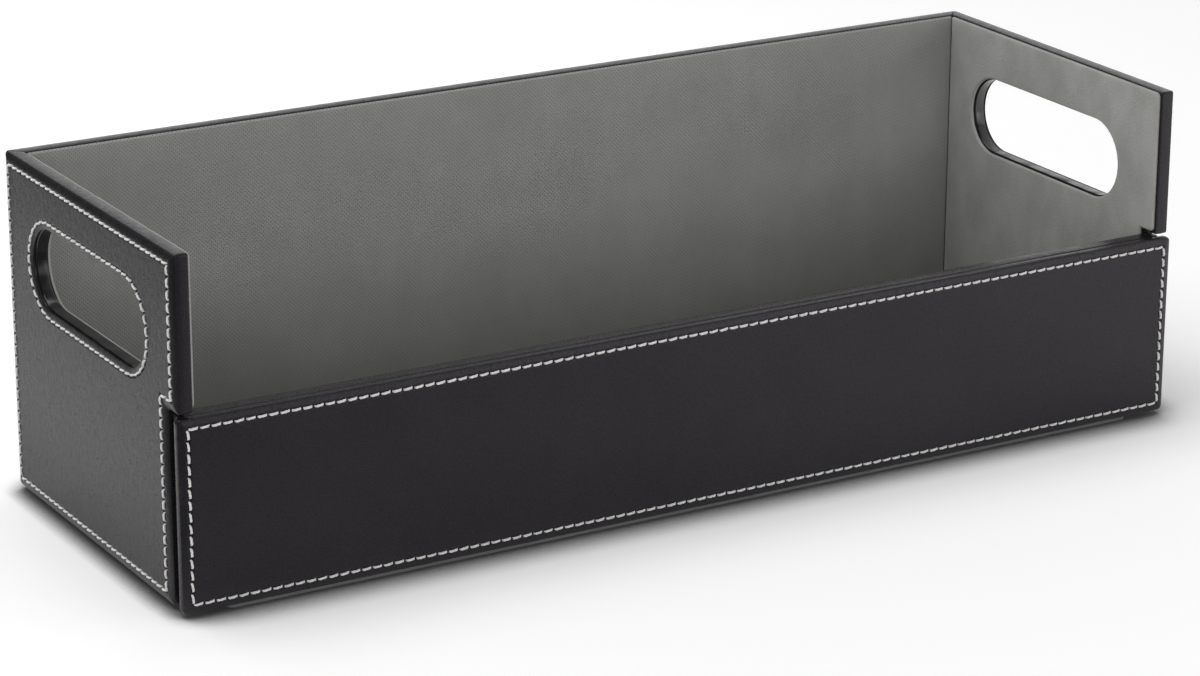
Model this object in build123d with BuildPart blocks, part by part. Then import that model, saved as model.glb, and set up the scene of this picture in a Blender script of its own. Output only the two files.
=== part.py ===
from build123d import *
import os

# Open storage bin for standing disc cases: wrapped boards, a low front with a
# fascia, hand-holes in both ends, lining panels and a felt pad underneath.
# Millimetres. The origin is under the middle of the bin, +Z is up and the low
# front faces -Y.

# ---- overall sizes ----
overall_width = 450.0
overall_depth = 158.0
overall_height = 140.0
front_height = 77.6  # top of the low front above the table

# ---- boards and their wrap ----
wall_board = 5.0
front_board_depth = 4.4
fascia_board_depth = 3.0
base_board_depth = 4.0
wrap = 0.9  # leathercloth thickness
turn_in = 12.0  # width of leathercloth glued round onto the hidden face

# ---- how the front meets the sides ----
nose_setback = 1.8  # side's nose behind the fascia's face
nose_gap = 1.6  # air under the nose
front_end_inset = 2.5  # front wall's ends inside the sides' outer faces

# ---- hand-holes ----
hole_length = 103.5
hole_height = 32.5
hole_drop = 38.0  # middle of the hole below the rim
hole_shift = 1.5  # middle of the hole behind the middle of the bin
edging = 0.9  # strip glued round the inside of the hole
edging_stand = 0.8  # strip's lip inside the wall
edging_groove = 0.3  # between the strip and the lining

# ---- lining ----
liner_card = 0.8
liner_cloth = 0.4
liner_margin = 1.2  # bare wrapped edge left round the lining
liner_gap = 0.3  # between neighbouring lining panels
infill_gap = 0.2  # between a card's raised back and the turn-ins
liner_corner = 2.0

# ---- card and felt under the bin ----
pad_card = 1.2
pad_felt = 0.8
pad_end_inset = 18.0
pad_edge_inset = 1.0
pad_corner = 3.0
felt_inset = 0.6  # card's edge left showing round the felt

# ---- rounded folds of the leathercloth, kept outside the board's sharp corners ----
corner_fold = 3.0
rim_fold = 1.2
inner_fold = 0.8
hole_fold = 0.7
corner_round = min(corner_fold, 3.4 * wrap)
rim_round = min(rim_fold, 1.4 * wrap)
inner_round = min(inner_fold, 0.9 * wrap)
hole_round = min(hole_fold, 0.8 * wrap)
edging_edge = 0.3 * edging
liner_edge = 0.8 * liner_cloth

# ---- places worked out from the sizes ----
wall = wall_board + 2 * wrap
front_wall = front_board_depth + 2 * wrap
fascia = fascia_board_depth + 2 * wrap
liner = liner_card + liner_cloth
margin = wrap + turn_in  # outer edge to the window between the turn-ins

side_x = -overall_width / 2  # left outer face
side_inner_x = side_x + wall
back_y = overall_depth / 2
back_inner_y = back_y - wall
face_y = -overall_depth / 2  # fascia's face
nose_y = face_y + nose_setback
front_y = face_y + fascia  # front wall's outer face
front_inner_y = front_y + front_wall

bottom = pad_felt + pad_card
top = overall_height
front_top = front_height
nose_z = front_top + nose_gap
hole_z = top - hole_drop
floor_z = bottom + base_board_depth
body_height = top - bottom
overcut = wrap  # cutting outlines reach this far past the outer faces

front_half = overall_width / 2 - front_end_inset
liner_x = side_inner_x + liner  # face of the left lining
back_liner_y = back_inner_y - liner
front_liner_y = front_inner_y + liner

os.makedirs("parts", exist_ok=True)


def side_outline(inset):
    """A side's outline with its nose, shrunk by inset: x is the bin's Y, y its Z."""
    with BuildSketch() as outline:
        with BuildLine():
            Polyline(
                (front_inner_y + inset, bottom + inset),
                (front_inner_y + inset, nose_z + inset),
                (nose_y + inset, nose_z + inset),
                (nose_y + inset, top - inset),
                (back_y - inset, top - inset),
                (back_y - inset, bottom + inset),
                close=True,
            )
        make_face()
    return outline.sketch


def side_window(gap):
    """The opening between a side's turn-ins, shrunk by gap."""
    edge = margin + gap
    with BuildSketch() as window:
        with BuildLine():
            Polyline(
                (front_inner_y + edge, bottom + edge),
                (front_inner_y + edge, nose_z + edge),
                (nose_y + edge, nose_z + edge),
                (nose_y + edge, top - edge),
                (back_inner_y - turn_in - gap, top - edge),
                (back_inner_y - turn_in - gap, bottom + edge),
                close=True,
            )
        make_face()
    return window.sketch


def side_liner_outline(inset):
    """A side lining panel's outline, shrunk by inset, its nose corners rounded."""
    with BuildSketch() as outline:
        with BuildLine():
            Polyline(
                (front_inner_y + liner_gap + inset, floor_z + inset),
                (front_inner_y + liner_gap + inset, nose_z + liner_margin + inset),
                (nose_y + liner_margin + inset, nose_z + liner_margin + inset),
                (nose_y + liner_margin + inset, top - liner_margin - inset),
                (back_liner_y - liner_gap - inset, top - liner_margin - inset),
                (back_liner_y - liner_gap - inset, floor_z + inset),
                close=True,
            )
        make_face()
        fillet(vertices().group_by(Axis.X)[0], radius=liner_corner - inset)
    return outline.sketch


def hand_hole(spread):
    """The hand-hole's stadium, grown by spread all round."""
    with BuildSketch() as hole:
        with Locations((hole_shift, hole_z)):
            SlotOverall(hole_length + 2 * spread, hole_height + 2 * spread)
    return hole.sketch


def wall_block():
    """The outer block that the back and sides are cut from, its edges rounded."""
    with BuildPart() as block:
        with BuildSketch(Plane.YZ.offset(side_x)):
            with Locations(((back_y + nose_y) / 2, (bottom + top) / 2)):
                Rectangle(back_y - nose_y, body_height)
            fillet(vertices().group_by(Axis.Y)[0].sort_by(Axis.X)[-1], radius=corner_round)
        extrude(amount=overall_width)
        ends = faces().filter_by(Axis.X).edges()
        folds = [edge for edge in ends if edge.center().Y > nose_y + overcut]
        back_rim = edges().filter_by(Axis.X).group_by(Axis.Z)[-1].sort_by(Axis.Y)[-1]
        fillet(folds + [back_rim], radius=rim_round)
    return block.part


# ---- sides: notched boards with a hand-hole, mitred to the back ----

with BuildPart() as left_side_board:
    with BuildSketch(Plane.XY.offset(bottom + wrap)):
        with BuildLine():
            Polyline(
                (side_x + wrap, back_y - wrap),
                (side_inner_x - wrap, back_inner_y + wrap),
                (side_inner_x - wrap, nose_y + wrap),
                (side_x + wrap, nose_y + wrap),
                close=True,
            )
        make_face()
    extrude(amount=body_height - 2 * wrap)
    with BuildSketch(Plane.YZ.offset(side_x)):
        add(side_outline(wrap))
    extrude(amount=wall, mode=Mode.INTERSECT)
    with BuildSketch(Plane.YZ.offset(side_x)):
        add(hand_hole(edging))
    extrude(amount=wall, mode=Mode.SUBTRACT)

with BuildPart() as left_side_cover:
    add(wall_block())
    with BuildSketch(Plane.XY.offset(bottom)):
        with BuildLine():
            Polyline(
                (side_x - overcut, back_y + overcut),
                (side_inner_x, back_inner_y),
                (side_inner_x, nose_y - overcut),
                (side_x - overcut, nose_y - overcut),
                close=True,
            )
        make_face()
    extrude(amount=body_height, mode=Mode.INTERSECT)
    with BuildSketch(Plane.YZ.offset(side_x)):
        add(side_outline(0))
    extrude(amount=wall, mode=Mode.INTERSECT)
    ends = edges().filter_by(Axis.Z).filter_by_position(
        Axis.Y, nose_y - 0.01, front_inner_y + 0.01
    )
    fillet(ends.filter_by_position(Axis.X, side_x - 0.01, side_x + 0.01), radius=inner_round)
    add(left_side_board.part, mode=Mode.SUBTRACT)
    with BuildSketch(Plane.YZ.offset(side_inner_x - wrap)):
        add(side_window(0))
    extrude(amount=wrap, mode=Mode.SUBTRACT)
    with BuildSketch(Plane.YZ.offset(side_x)):
        add(hand_hole(0))
    extrude(amount=wall, mode=Mode.SUBTRACT)
    with BuildSketch(Plane.YZ.offset(side_x + wrap)):
        add(hand_hole(edging))
    extrude(amount=wall, mode=Mode.SUBTRACT)
    rim = faces().filter_by(Axis.X).sort_by(Axis.X)[0].inner_wires()[0]
    fillet(rim.edges(), radius=hole_round)

with BuildPart() as left_handle_edging:
    with BuildSketch(Plane.YZ.offset(side_x + wrap)):
        add(hand_hole(edging))
    extrude(amount=wall - wrap + edging_stand)
    with BuildSketch(Plane.YZ.offset(side_x + wrap)):
        add(hand_hole(0))
    extrude(amount=wall - wrap + edging_stand, mode=Mode.SUBTRACT)
    chamfer(faces().sort_by(Axis.X)[-1].edges(), length=edging_edge)

# ---- back ----

with BuildPart() as back_board:
    with BuildSketch(Plane.XY.offset(bottom + wrap)):
        with BuildLine():
            Polyline(
                (side_x + wrap, back_y - wrap),
                (side_inner_x - wrap, back_inner_y + wrap),
                (-side_inner_x + wrap, back_inner_y + wrap),
                (-side_x - wrap, back_y - wrap),
                close=True,
            )
        make_face()
    extrude(amount=body_height - 2 * wrap)

with BuildPart() as back_cover:
    add(wall_block())
    with BuildSketch(Plane.XY.offset(bottom)):
        with BuildLine():
            Polyline(
                (side_x - overcut, back_y + overcut),
                (side_inner_x, back_inner_y),
                (-side_inner_x, back_inner_y),
                (-side_x + overcut, back_y + overcut),
                close=True,
            )
        make_face()
    extrude(amount=body_height, mode=Mode.INTERSECT)
    add(back_board.part, mode=Mode.SUBTRACT)
    with BuildSketch(Plane.XZ.offset(-back_inner_y - wrap)):
        with Locations((0, (bottom + top) / 2)):
            Rectangle(-2 * side_inner_x - 2 * turn_in, body_height - 2 * margin)
    extrude(amount=wrap, mode=Mode.SUBTRACT)

# ---- front wall, its fascia and the pad that bonds them ----

with BuildPart() as front_board:
    with BuildSketch(Plane.XZ.offset(-front_inner_y + wrap)):
        with Locations((0, (bottom + front_top) / 2)):
            Rectangle(2 * (front_half - wrap), front_top - bottom - 2 * wrap)
    extrude(amount=front_board_depth)

with BuildPart() as front_cover:
    with BuildSketch(Plane.XZ.offset(-front_inner_y)):
        with Locations((0, (bottom + front_top) / 2)):
            Rectangle(2 * front_half, front_top - bottom)
    extrude(amount=front_wall)
    fillet(edges().group_by(Axis.Z)[-1].filter_by(Axis.X), radius=inner_round)
    add(front_board.part, mode=Mode.SUBTRACT)
    with BuildSketch(Plane.XZ.offset(-front_inner_y)):
        with Locations((0, (bottom + front_top) / 2)):
            Rectangle(2 * (front_half - margin), front_top - bottom - 2 * margin)
    extrude(amount=front_wall, mode=Mode.SUBTRACT)

with BuildPart() as fascia_board:
    with BuildSketch(Plane.XZ.offset(-front_y + wrap)):
        with Locations((0, (bottom + front_top) / 2)):
            Rectangle(overall_width - 2 * wrap, front_top - bottom - 2 * wrap)
    extrude(amount=fascia_board_depth)

with BuildPart() as fascia_cover:
    with BuildSketch(Plane.XZ.offset(-front_y)):
        with Locations((0, (bottom + front_top) / 2)):
            Rectangle(overall_width, front_top - bottom)
        fillet(vertices(), radius=corner_round)
    extrude(amount=fascia)
    fillet(faces().sort_by(Axis.Y)[0].edges(), radius=rim_round)
    fillet(faces().sort_by(Axis.Y)[-1].edges(), radius=inner_round)
    add(fascia_board.part, mode=Mode.SUBTRACT)
    with BuildSketch(Plane.XZ.offset(-front_y)):
        with Locations((0, (bottom + front_top) / 2)):
            Rectangle(2 * (front_half - margin), front_top - bottom - 2 * margin)
    extrude(amount=wrap, mode=Mode.SUBTRACT)

with BuildPart() as fascia_bond:
    with BuildSketch(Plane.XZ.offset(-front_y - wrap)):
        with Locations((0, (bottom + front_top) / 2)):
            Rectangle(2 * (front_half - margin), front_top - bottom - 2 * margin)
    extrude(amount=2 * wrap)

# ---- base between the walls ----

with BuildPart() as base_board:
    with BuildSketch(Plane.XY.offset(bottom)):
        with Locations((0, (back_inner_y + front_inner_y) / 2)):
            Rectangle(-2 * side_inner_x, back_inner_y - front_inner_y)
    extrude(amount=base_board_depth)

# ---- lining: cloth wrapped round cards ----

with BuildPart() as left_liner_card:
    with BuildSketch(Plane.YZ.offset(side_inner_x)):
        add(side_liner_outline(liner_cloth))
    extrude(amount=liner_card)
    with BuildSketch(Plane.YZ.offset(side_inner_x - wrap)):
        add(side_window(infill_gap))
    extrude(amount=wrap)
    with BuildSketch(Plane.YZ.offset(side_inner_x - wrap)):
        add(hand_hole(edging + edging_groove + liner_cloth))
    extrude(amount=wrap + liner_card, mode=Mode.SUBTRACT)

with BuildPart() as left_liner_cloth:
    with BuildSketch(Plane.YZ.offset(side_inner_x)):
        add(side_liner_outline(0))
    extrude(amount=liner)
    with BuildSketch(Plane.YZ.offset(side_inner_x)):
        add(hand_hole(edging + edging_groove))
    extrude(amount=liner, mode=Mode.SUBTRACT)
    chamfer(faces().sort_by(Axis.X)[-1].edges(), length=liner_edge)
    add(left_liner_card.part, mode=Mode.SUBTRACT)

with BuildPart() as back_liner_card:
    with BuildSketch(Plane.XZ.offset(-back_inner_y)):
        with Locations((0, (floor_z + top - liner_margin) / 2)):
            Rectangle(
                2 * (-side_inner_x - liner_gap - liner_cloth),
                top - liner_margin - floor_z - 2 * liner_cloth,
            )
    extrude(amount=liner_card)
    with BuildSketch(Plane.XZ.offset(-back_inner_y - wrap)):
        with Locations((0, (bottom + top) / 2)):
            Rectangle(
                2 * (-side_inner_x - turn_in - infill_gap),
                body_height - 2 * margin - 2 * infill_gap,
            )
    extrude(amount=wrap)

with BuildPart() as back_liner_cloth:
    with BuildSketch(Plane.XZ.offset(-back_inner_y)):
        with Locations((0, (floor_z + top - liner_margin) / 2)):
            Rectangle(2 * (-side_inner_x - liner_gap), top - liner_margin - floor_z)
    extrude(amount=liner)
    chamfer(faces().sort_by(Axis.Y)[0].edges(), length=liner_edge)
    add(back_liner_card.part, mode=Mode.SUBTRACT)

with BuildPart() as front_liner_card:
    with BuildSketch(Plane.XZ.offset(-front_inner_y - liner_card)):
        with Locations((0, (floor_z + front_top - liner_margin) / 2)):
            Rectangle(
                2 * (-liner_x - liner_gap - liner_cloth),
                front_top - liner_margin - floor_z - 2 * liner_cloth,
            )
    extrude(amount=liner_card)
    with BuildSketch(Plane.XZ.offset(-front_inner_y)):
        with Locations((0, (bottom + front_top) / 2)):
            Rectangle(
                2 * (front_half - margin - infill_gap),
                front_top - bottom - 2 * margin - 2 * infill_gap,
            )
    extrude(amount=wrap)

with BuildPart() as front_liner_cloth:
    with BuildSketch(Plane.XZ.offset(-front_inner_y - liner)):
        with Locations((0, (floor_z + front_top - liner_margin) / 2)):
            Rectangle(2 * (-liner_x - liner_gap), front_top - liner_margin - floor_z)
    extrude(amount=liner)
    chamfer(faces().sort_by(Axis.Y)[-1].edges(), length=liner_edge)
    add(front_liner_card.part, mode=Mode.SUBTRACT)

with BuildPart() as base_liner_card:
    with BuildSketch(Plane.XY.offset(floor_z)):
        with Locations((0, (back_liner_y + front_liner_y) / 2)):
            Rectangle(
                2 * (-liner_x - liner_gap - liner_cloth),
                back_liner_y - front_liner_y - 2 * liner_gap - 2 * liner_cloth,
            )
    extrude(amount=liner_card)

with BuildPart() as base_liner_cloth:
    with BuildSketch(Plane.XY.offset(floor_z)):
        with Locations((0, (back_liner_y + front_liner_y) / 2)):
            Rectangle(
                2 * (-liner_x - liner_gap), back_liner_y - front_liner_y - 2 * liner_gap
            )
    extrude(amount=liner)
    chamfer(faces().sort_by(Axis.Z)[-1].edges(), length=liner_edge)
    add(base_liner_card.part, mode=Mode.SUBTRACT)

# ---- card that closes the underside and the felt that the bin stands on ----

with BuildPart() as base_pad_card:
    with BuildSketch(Plane.XY.offset(pad_felt)):
        RectangleRounded(
            overall_width - 2 * pad_end_inset, overall_depth - 2 * pad_edge_inset, pad_corner
        )
    extrude(amount=pad_card)

with BuildPart() as base_pad_felt:
    with BuildSketch(Plane.XY):
        RectangleRounded(
            overall_width - 2 * pad_end_inset - 2 * felt_inset,
            overall_depth - 2 * pad_edge_inset - 2 * felt_inset,
            pad_corner - felt_inset,
        )
    extrude(amount=pad_felt)

# ---- right side, the left side's mirror image ----

with BuildPart() as right_side_board:
    mirror(left_side_board.part, about=Plane.YZ)

with BuildPart() as right_side_cover:
    mirror(left_side_cover.part, about=Plane.YZ)

with BuildPart() as right_handle_edging:
    mirror(left_handle_edging.part, about=Plane.YZ)

with BuildPart() as right_liner_card:
    mirror(left_liner_card.part, about=Plane.YZ)

with BuildPart() as right_liner_cloth:
    mirror(left_liner_cloth.part, about=Plane.YZ)

# ---- labels and files ----

pieces = {
    "left_side_board": left_side_board,
    "right_side_board": right_side_board,
    "back_board": back_board,
    "front_board": front_board,
    "fascia_board": fascia_board,
    "base_board": base_board,
    "left_side_cover": left_side_cover,
    "right_side_cover": right_side_cover,
    "back_cover": back_cover,
    "front_cover": front_cover,
    "fascia_cover": fascia_cover,
    "fascia_bond": fascia_bond,
    "left_handle_edging": left_handle_edging,
    "right_handle_edging": right_handle_edging,
    "left_liner_card": left_liner_card,
    "right_liner_card": right_liner_card,
    "back_liner_card": back_liner_card,
    "front_liner_card": front_liner_card,
    "base_liner_card": base_liner_card,
    "left_liner_cloth": left_liner_cloth,
    "right_liner_cloth": right_liner_cloth,
    "back_liner_cloth": back_liner_cloth,
    "front_liner_cloth": front_liner_cloth,
    "base_liner_cloth": base_liner_cloth,
    "base_pad_card": base_pad_card,
    "base_pad_felt": base_pad_felt,
}
for name, piece in pieces.items():
    piece.part.label = name
    export_step(piece.part, f"parts/{name}.step")
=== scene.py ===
"""Open storage bin for standing disc cases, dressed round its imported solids.

Boards wrapped in black leathercloth with off-white saddle stitching, hand-holes
with an edging strip, embossed grey lining and a felt pad underneath. Metres, in
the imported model's own frame: +Z is up and the low front faces -Y.
"""

import enum
import logging
import math
import random
from collections.abc import Iterable
from dataclasses import dataclass, field, replace

import bmesh
import bpy
from mathutils import Matrix, Vector
from mathutils.kdtree import KDTree


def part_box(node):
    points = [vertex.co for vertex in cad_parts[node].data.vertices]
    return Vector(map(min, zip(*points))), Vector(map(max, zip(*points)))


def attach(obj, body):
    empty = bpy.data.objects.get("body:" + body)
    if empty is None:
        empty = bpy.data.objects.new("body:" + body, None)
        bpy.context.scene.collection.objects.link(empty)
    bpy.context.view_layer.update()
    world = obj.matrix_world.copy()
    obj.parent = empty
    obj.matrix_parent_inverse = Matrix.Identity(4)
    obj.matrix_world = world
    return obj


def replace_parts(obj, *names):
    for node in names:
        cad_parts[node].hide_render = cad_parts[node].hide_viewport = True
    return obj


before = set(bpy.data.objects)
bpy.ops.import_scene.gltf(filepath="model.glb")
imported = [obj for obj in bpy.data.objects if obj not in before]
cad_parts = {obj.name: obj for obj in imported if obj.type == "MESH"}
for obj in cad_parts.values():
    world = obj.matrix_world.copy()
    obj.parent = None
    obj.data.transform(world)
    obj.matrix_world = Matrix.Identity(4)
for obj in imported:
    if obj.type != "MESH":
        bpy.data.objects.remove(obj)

MM = 0.001
ROOT = "root"
Piece = bpy.types.Object
Material = bpy.types.Material
Socket = bpy.types.NodeSocket
Colour = tuple[float, float, float, float]
Range = tuple[float, float]
Pair = Vector | tuple[float, float]
Ring = list[bmesh.types.BMVert]
X = Vector((1.0, 0.0, 0.0))
Y = Vector((0.0, 1.0, 0.0))
Z = Vector((0.0, 0.0, 1.0))
log = logging.getLogger("storage_bin")


# ---------------------------------------------------------------- outlines


@dataclass(frozen=True)
class Face:
    """The plane that a piece is laid out on: along, up, and inward from it."""

    origin: Vector
    along: Vector
    up: Vector
    inward: Vector

    @property
    def handed(self) -> float:
        """1 where along and up are seen mirrored from outside, else -1."""
        return self.along.cross(self.up).dot(self.inward)

    def point(self, flat: Vector, depth: float) -> Vector:
        """A point of the plane, moved inward by depth.

        Args:
            flat: place along and up the plane.
            depth: distance inward from the plane.

        Returns:
            The point in the bin's frame.
        """
        return self.origin + self.along * flat.x + self.up * flat.y + self.inward * depth


@dataclass(frozen=True)
class Corner:
    """One corner of an outline, with the directions of the runs that meet there."""

    place: Vector
    arriving: Vector
    leaving: Vector
    radius: float

    @property
    def turn(self) -> float:
        """Angle that the outline turns through here, positive to the left."""
        cross = self.arriving.x * self.leaving.y - self.arriving.y * self.leaving.x
        return math.atan2(cross, self.arriving.dot(self.leaving))

    def shifted(self, inset: float) -> Vector:
        """The mitred corner when both runs move inward.

        Args:
            inset: distance that they move.

        Returns:
            The corner's new place.
        """
        first = Vector((-self.arriving.y, self.arriving.x))
        second = Vector((-self.leaving.y, self.leaving.x))
        return self.place + (first + second) * (inset / (1.0 + first.dot(second)))

    def radius_at(self, inset: float, least: float) -> float:
        """Radius of the corner when the outline is shrunk by inset."""
        return max(self.radius - inset, least) if self.turn > 0 else max(self.radius, least)

    def arc(self, inset: float, steps: int, least: float) -> list[Vector]:
        """Points round the corner at an inset.

        Args:
            inset: distance that the outline is shrunk by.
            steps: number of chords in the arc.
            least: smallest radius drawn.

        Returns:
            steps + 1 points, from the arriving run to the leaving run.
        """
        radius = self.radius_at(inset, least)
        reach = radius * math.tan(abs(self.turn) / 2)
        start = self.shifted(inset) - self.arriving * reach
        side = 1.0 if self.turn > 0 else -1.0
        normal = Vector((-self.arriving.y, self.arriving.x)) * side
        centre = start + normal * radius
        points = []
        for step in range(steps + 1):
            angle = abs(self.turn) * step / steps
            swing = self.arriving * math.sin(angle) - normal * math.cos(angle)
            points.append(centre + swing * radius)
        return points


@dataclass(frozen=True)
class Outline:
    """A closed outline, anticlockwise, redrawn at any inset with as many points."""

    corners: tuple[tuple[float, float], ...]
    radii: tuple[float, ...]
    seam_inset: float = 0.0
    pitch: float = 4.6 * MM
    steps_per_stitch: int = 6
    least_radius: float = 0.03 * MM
    arc_steps: int = 6
    tight_corner: float = 2.0

    def corner(self, index: int) -> Corner:
        """One corner.

        Args:
            index: its number, counted round the outline.

        Returns:
            The corner.
        """
        count = len(self.corners)
        before, here, after = (Vector(self.corners[(index + k) % count]) for k in (-1, 0, 1))
        arriving, leaving = (here - before).normalized(), (after - here).normalized()
        return Corner(here, arriving, leaving, self.radii[index % count])

    def flat_cut(self, spare: float) -> tuple[float, float]:
        """Size of a flat cut that reaches past the outline on every side.

        Args:
            spare: how far it reaches.

        Returns:
            Width and height.
        """
        return tuple(max(row) - min(row) + 2 * spare for row in zip(*self.corners))

    def steps_round(self, index: int) -> int:
        """Number of chords drawn round a corner.

        Args:
            index: the corner's number.

        Returns:
            The number, the same for every inset.
        """
        corner = self.corner(index)
        length = abs(corner.turn) * corner.radius_at(self.seam_inset, self.least_radius)
        return max(self.arc_steps, round(length * self.steps_per_stitch / self.pitch))

    def stitches_along(self, index: int) -> int:
        """Whole stitches in the run that follows a corner.

        Args:
            index: the corner's number.

        Returns:
            The number of stitches, 0 where there is no run.
        """
        start = self.corner(index).arc(self.seam_inset, 1, self.least_radius)[-1]
        end = self.corner(index + 1).arc(self.seam_inset, 1, self.least_radius)[0]
        length = (end - start).length
        return 0 if length < self.least_radius else max(1, round(length / self.pitch))

    def ring(self, inset: float) -> list[Vector]:
        """The outline shrunk by an inset, or grown by a negative one.

        Args:
            inset: distance inward from the outline.

        Returns:
            The same number of points for every inset.
        """
        arcs = [
            self.corner(index).arc(inset, self.steps_round(index), self.least_radius)
            for index in range(len(self.corners))
        ]
        points: list[Vector] = []
        for index, arc in enumerate(arcs):
            following = arcs[(index + 1) % len(arcs)]
            steps = self.stitches_along(index) * self.steps_per_stitch
            points.extend(arc if steps else arc[:-1])
            points.extend(arc[-1].lerp(following[0], k / steps) for k in range(1, steps))
        return points

    def needle_holes(self) -> list[list[Vector]]:
        """Places where the needle went through, one list for each unbroken row.

        Returns:
            A row from corner to corner for each run, or one closed row where every
            corner's radius is more than tight_corner stitches long.
        """
        if all(radius > self.tight_corner * self.pitch for radius in self.radii):
            return [self.even_row(self.ring(self.seam_inset))]
        rows = []
        for index in range(len(self.corners)):
            start = self.corner(index).shifted(self.seam_inset)
            end = self.corner(index + 1).shifted(self.seam_inset)
            stitches = self.stitches_along(index)
            rows.append([start.lerp(end, k / stitches) for k in range(stitches + 1)])
        return rows

    def even_row(self, loop: list[Vector]) -> list[Vector]:
        """Evenly spaced needle holes round a closed loop.

        Args:
            loop: points of the loop, close together.

        Returns:
            The holes in order, the first one given again last.
        """
        closed = loop + loop[:1]
        lengths = [(b - a).length for a, b in zip(closed, closed[1:])]
        total = sum(lengths)
        stitches = round(total / self.pitch)
        row, walked, index = [], 0.0, 0
        for stitch in range(stitches):
            target = total * stitch / stitches
            while walked + lengths[index] < target:
                walked += lengths[index]
                index += 1
            row.append(closed[index].lerp(closed[index + 1], (target - walked) / lengths[index]))
        return row + row[:1]


def rectangle(low: Pair, high: Pair, radius: float, **options: float) -> Outline:
    """An upright rectangle's outline with one radius at its four corners.

    Args:
        low: lowest corner.
        high: highest corner.
        radius: radius of the corners.
        options: the outline's other fields.

    Returns:
        The outline.
    """
    corners = ((low[0], low[1]), (high[0], low[1]), (high[0], high[1]), (low[0], high[1]))
    return Outline(corners, (radius,) * 4, **options)


# ---------------------------------------------------------------- mesh work


@dataclass(frozen=True)
class Station:
    """One ring of a lofted skin: how far in from the outline and how deep."""

    inset: float
    depth: float
    fold: float = 0.0
    seam: float = 0.0


class Skin:
    """Grows one closed mesh out of rings of points and flat fills."""

    weld: float = 0.008 * MM

    def __init__(self, name: str, face: Face) -> None:
        """Starts an empty mesh.

        Args:
            name: the piece's name.
            face: the plane that it is laid out on.
        """
        self.name = name
        self.face = face
        self.mesh = bmesh.new()
        self.fold = self.mesh.verts.layers.float.new("fold")
        self.seam = self.mesh.verts.layers.float.new("seam")

    def ring(self, flat: list[Vector], station: Station, dents: "Dents | None" = None) -> Ring:
        """Adds the vertices of one ring.

        Args:
            flat: the ring's points on the face.
            station: its depth and masks.
            dents: needle holes that press its points in.

        Returns:
            The new vertices in order.
        """
        verts = []
        for point in flat:
            dent = dents.depth(point) if dents else 0.0
            vert = self.mesh.verts.new(self.face.point(point, station.depth + dent))
            vert[self.fold] = station.fold
            vert[self.seam] = station.seam
            verts.append(vert)
        return verts

    def bridge(self, first: Ring, second: Ring) -> None:
        """Joins two rings with a band of quads.

        Args:
            first: a ring's vertices.
            second: as many vertices of the next ring.
        """
        count = len(first)
        for index in range(count):
            after = (index + 1) % count
            self.mesh.faces.new((first[index], first[after], second[after], second[index]))

    def loft(
        self, outline: Outline, stations: list[Station], dents: "Dents | None" = None
    ) -> list[Ring]:
        """Lofts an outline through a list of stations.

        Args:
            outline: the outline that each ring follows.
            stations: insets and depths, in order.
            dents: needle holes that press the seam's rings in.

        Returns:
            The rings of vertices, one for each station.
        """
        rings = []
        for station in stations:
            here = dents if dents and station.seam > 0 else None
            rings.append(self.ring(outline.ring(station.inset), station, here))
        for first, second in zip(rings, rings[1:]):
            self.bridge(first, second)
        return rings

    def fill(self, *loops: Ring) -> None:
        """Fills the flat area between loops.

        Args:
            loops: the vertices of each loop, the outer one first.
        """
        edges = []
        for loop in loops:
            for pair in zip(loop, loop[1:] + loop[:1]):
                edges.append(self.mesh.edges.get(pair) or self.mesh.edges.new(pair))
        bmesh.ops.triangle_fill(self.mesh, use_beauty=True, edges=edges)

    def cut(self, place: Vector, away: Vector) -> None:
        """Cuts off what lies on the far side of a plane and closes the cut.

        Args:
            place: a point of the plane.
            away: direction towards the part that goes.
        """
        geometry = self.mesh.verts[:] + self.mesh.edges[:] + self.mesh.faces[:]
        bmesh.ops.bisect_plane(
            self.mesh, geom=geometry, plane_co=place, plane_no=away, clear_outer=True, dist=1e-7
        )
        opened = [edge for edge in self.mesh.edges if edge.is_boundary]
        bmesh.ops.triangle_fill(self.mesh, use_beauty=True, edges=opened)

    def finish(self, material: Material, smooth_angle: float = math.radians(50)) -> Piece:
        """Turns the mesh into an object of the scene.

        Args:
            material: the piece's finish.
            smooth_angle: edges sharper than this stay sharp.

        Returns:
            The object, riding on the bin's one body.
        """
        bmesh.ops.remove_doubles(self.mesh, verts=self.mesh.verts[:], dist=self.weld)
        bmesh.ops.recalc_face_normals(self.mesh, faces=self.mesh.faces[:])
        for edge in self.mesh.edges:
            edge.smooth = len(edge.link_faces) == 2 and edge.calc_face_angle(0.0) < smooth_angle
        for face in self.mesh.faces:
            face.smooth = True
        data = bpy.data.meshes.new(self.name)
        self.mesh.to_mesh(data)
        self.mesh.free()
        data.materials.append(material)
        piece = bpy.data.objects.new(self.name, data)
        bpy.context.scene.collection.objects.link(piece)
        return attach(piece, ROOT)


@dataclass(frozen=True)
class Dents:
    """How far a seam's needle holes press the leathercloth in."""

    tree: KDTree
    width: float = 0.55 * MM
    deep: float = 0.7 * MM

    def depth(self, point: Vector) -> float:
        """Depth of the dent at a point of the face."""
        distance = self.tree.find(point.to_3d())[2]
        return self.deep * math.exp(-((distance / self.width) ** 2))

    @classmethod
    def of(cls, outline: Outline) -> "Dents":
        """Dents at every needle hole of an outline's seam.

        Args:
            outline: the outline.

        Returns:
            The dents.
        """
        places = [hole for row in outline.needle_holes() for hole in row]
        tree = KDTree(len(places))
        for index, place in enumerate(places):
            tree.insert(place.to_3d(), index)
        tree.balance()
        return cls(tree)


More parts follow.
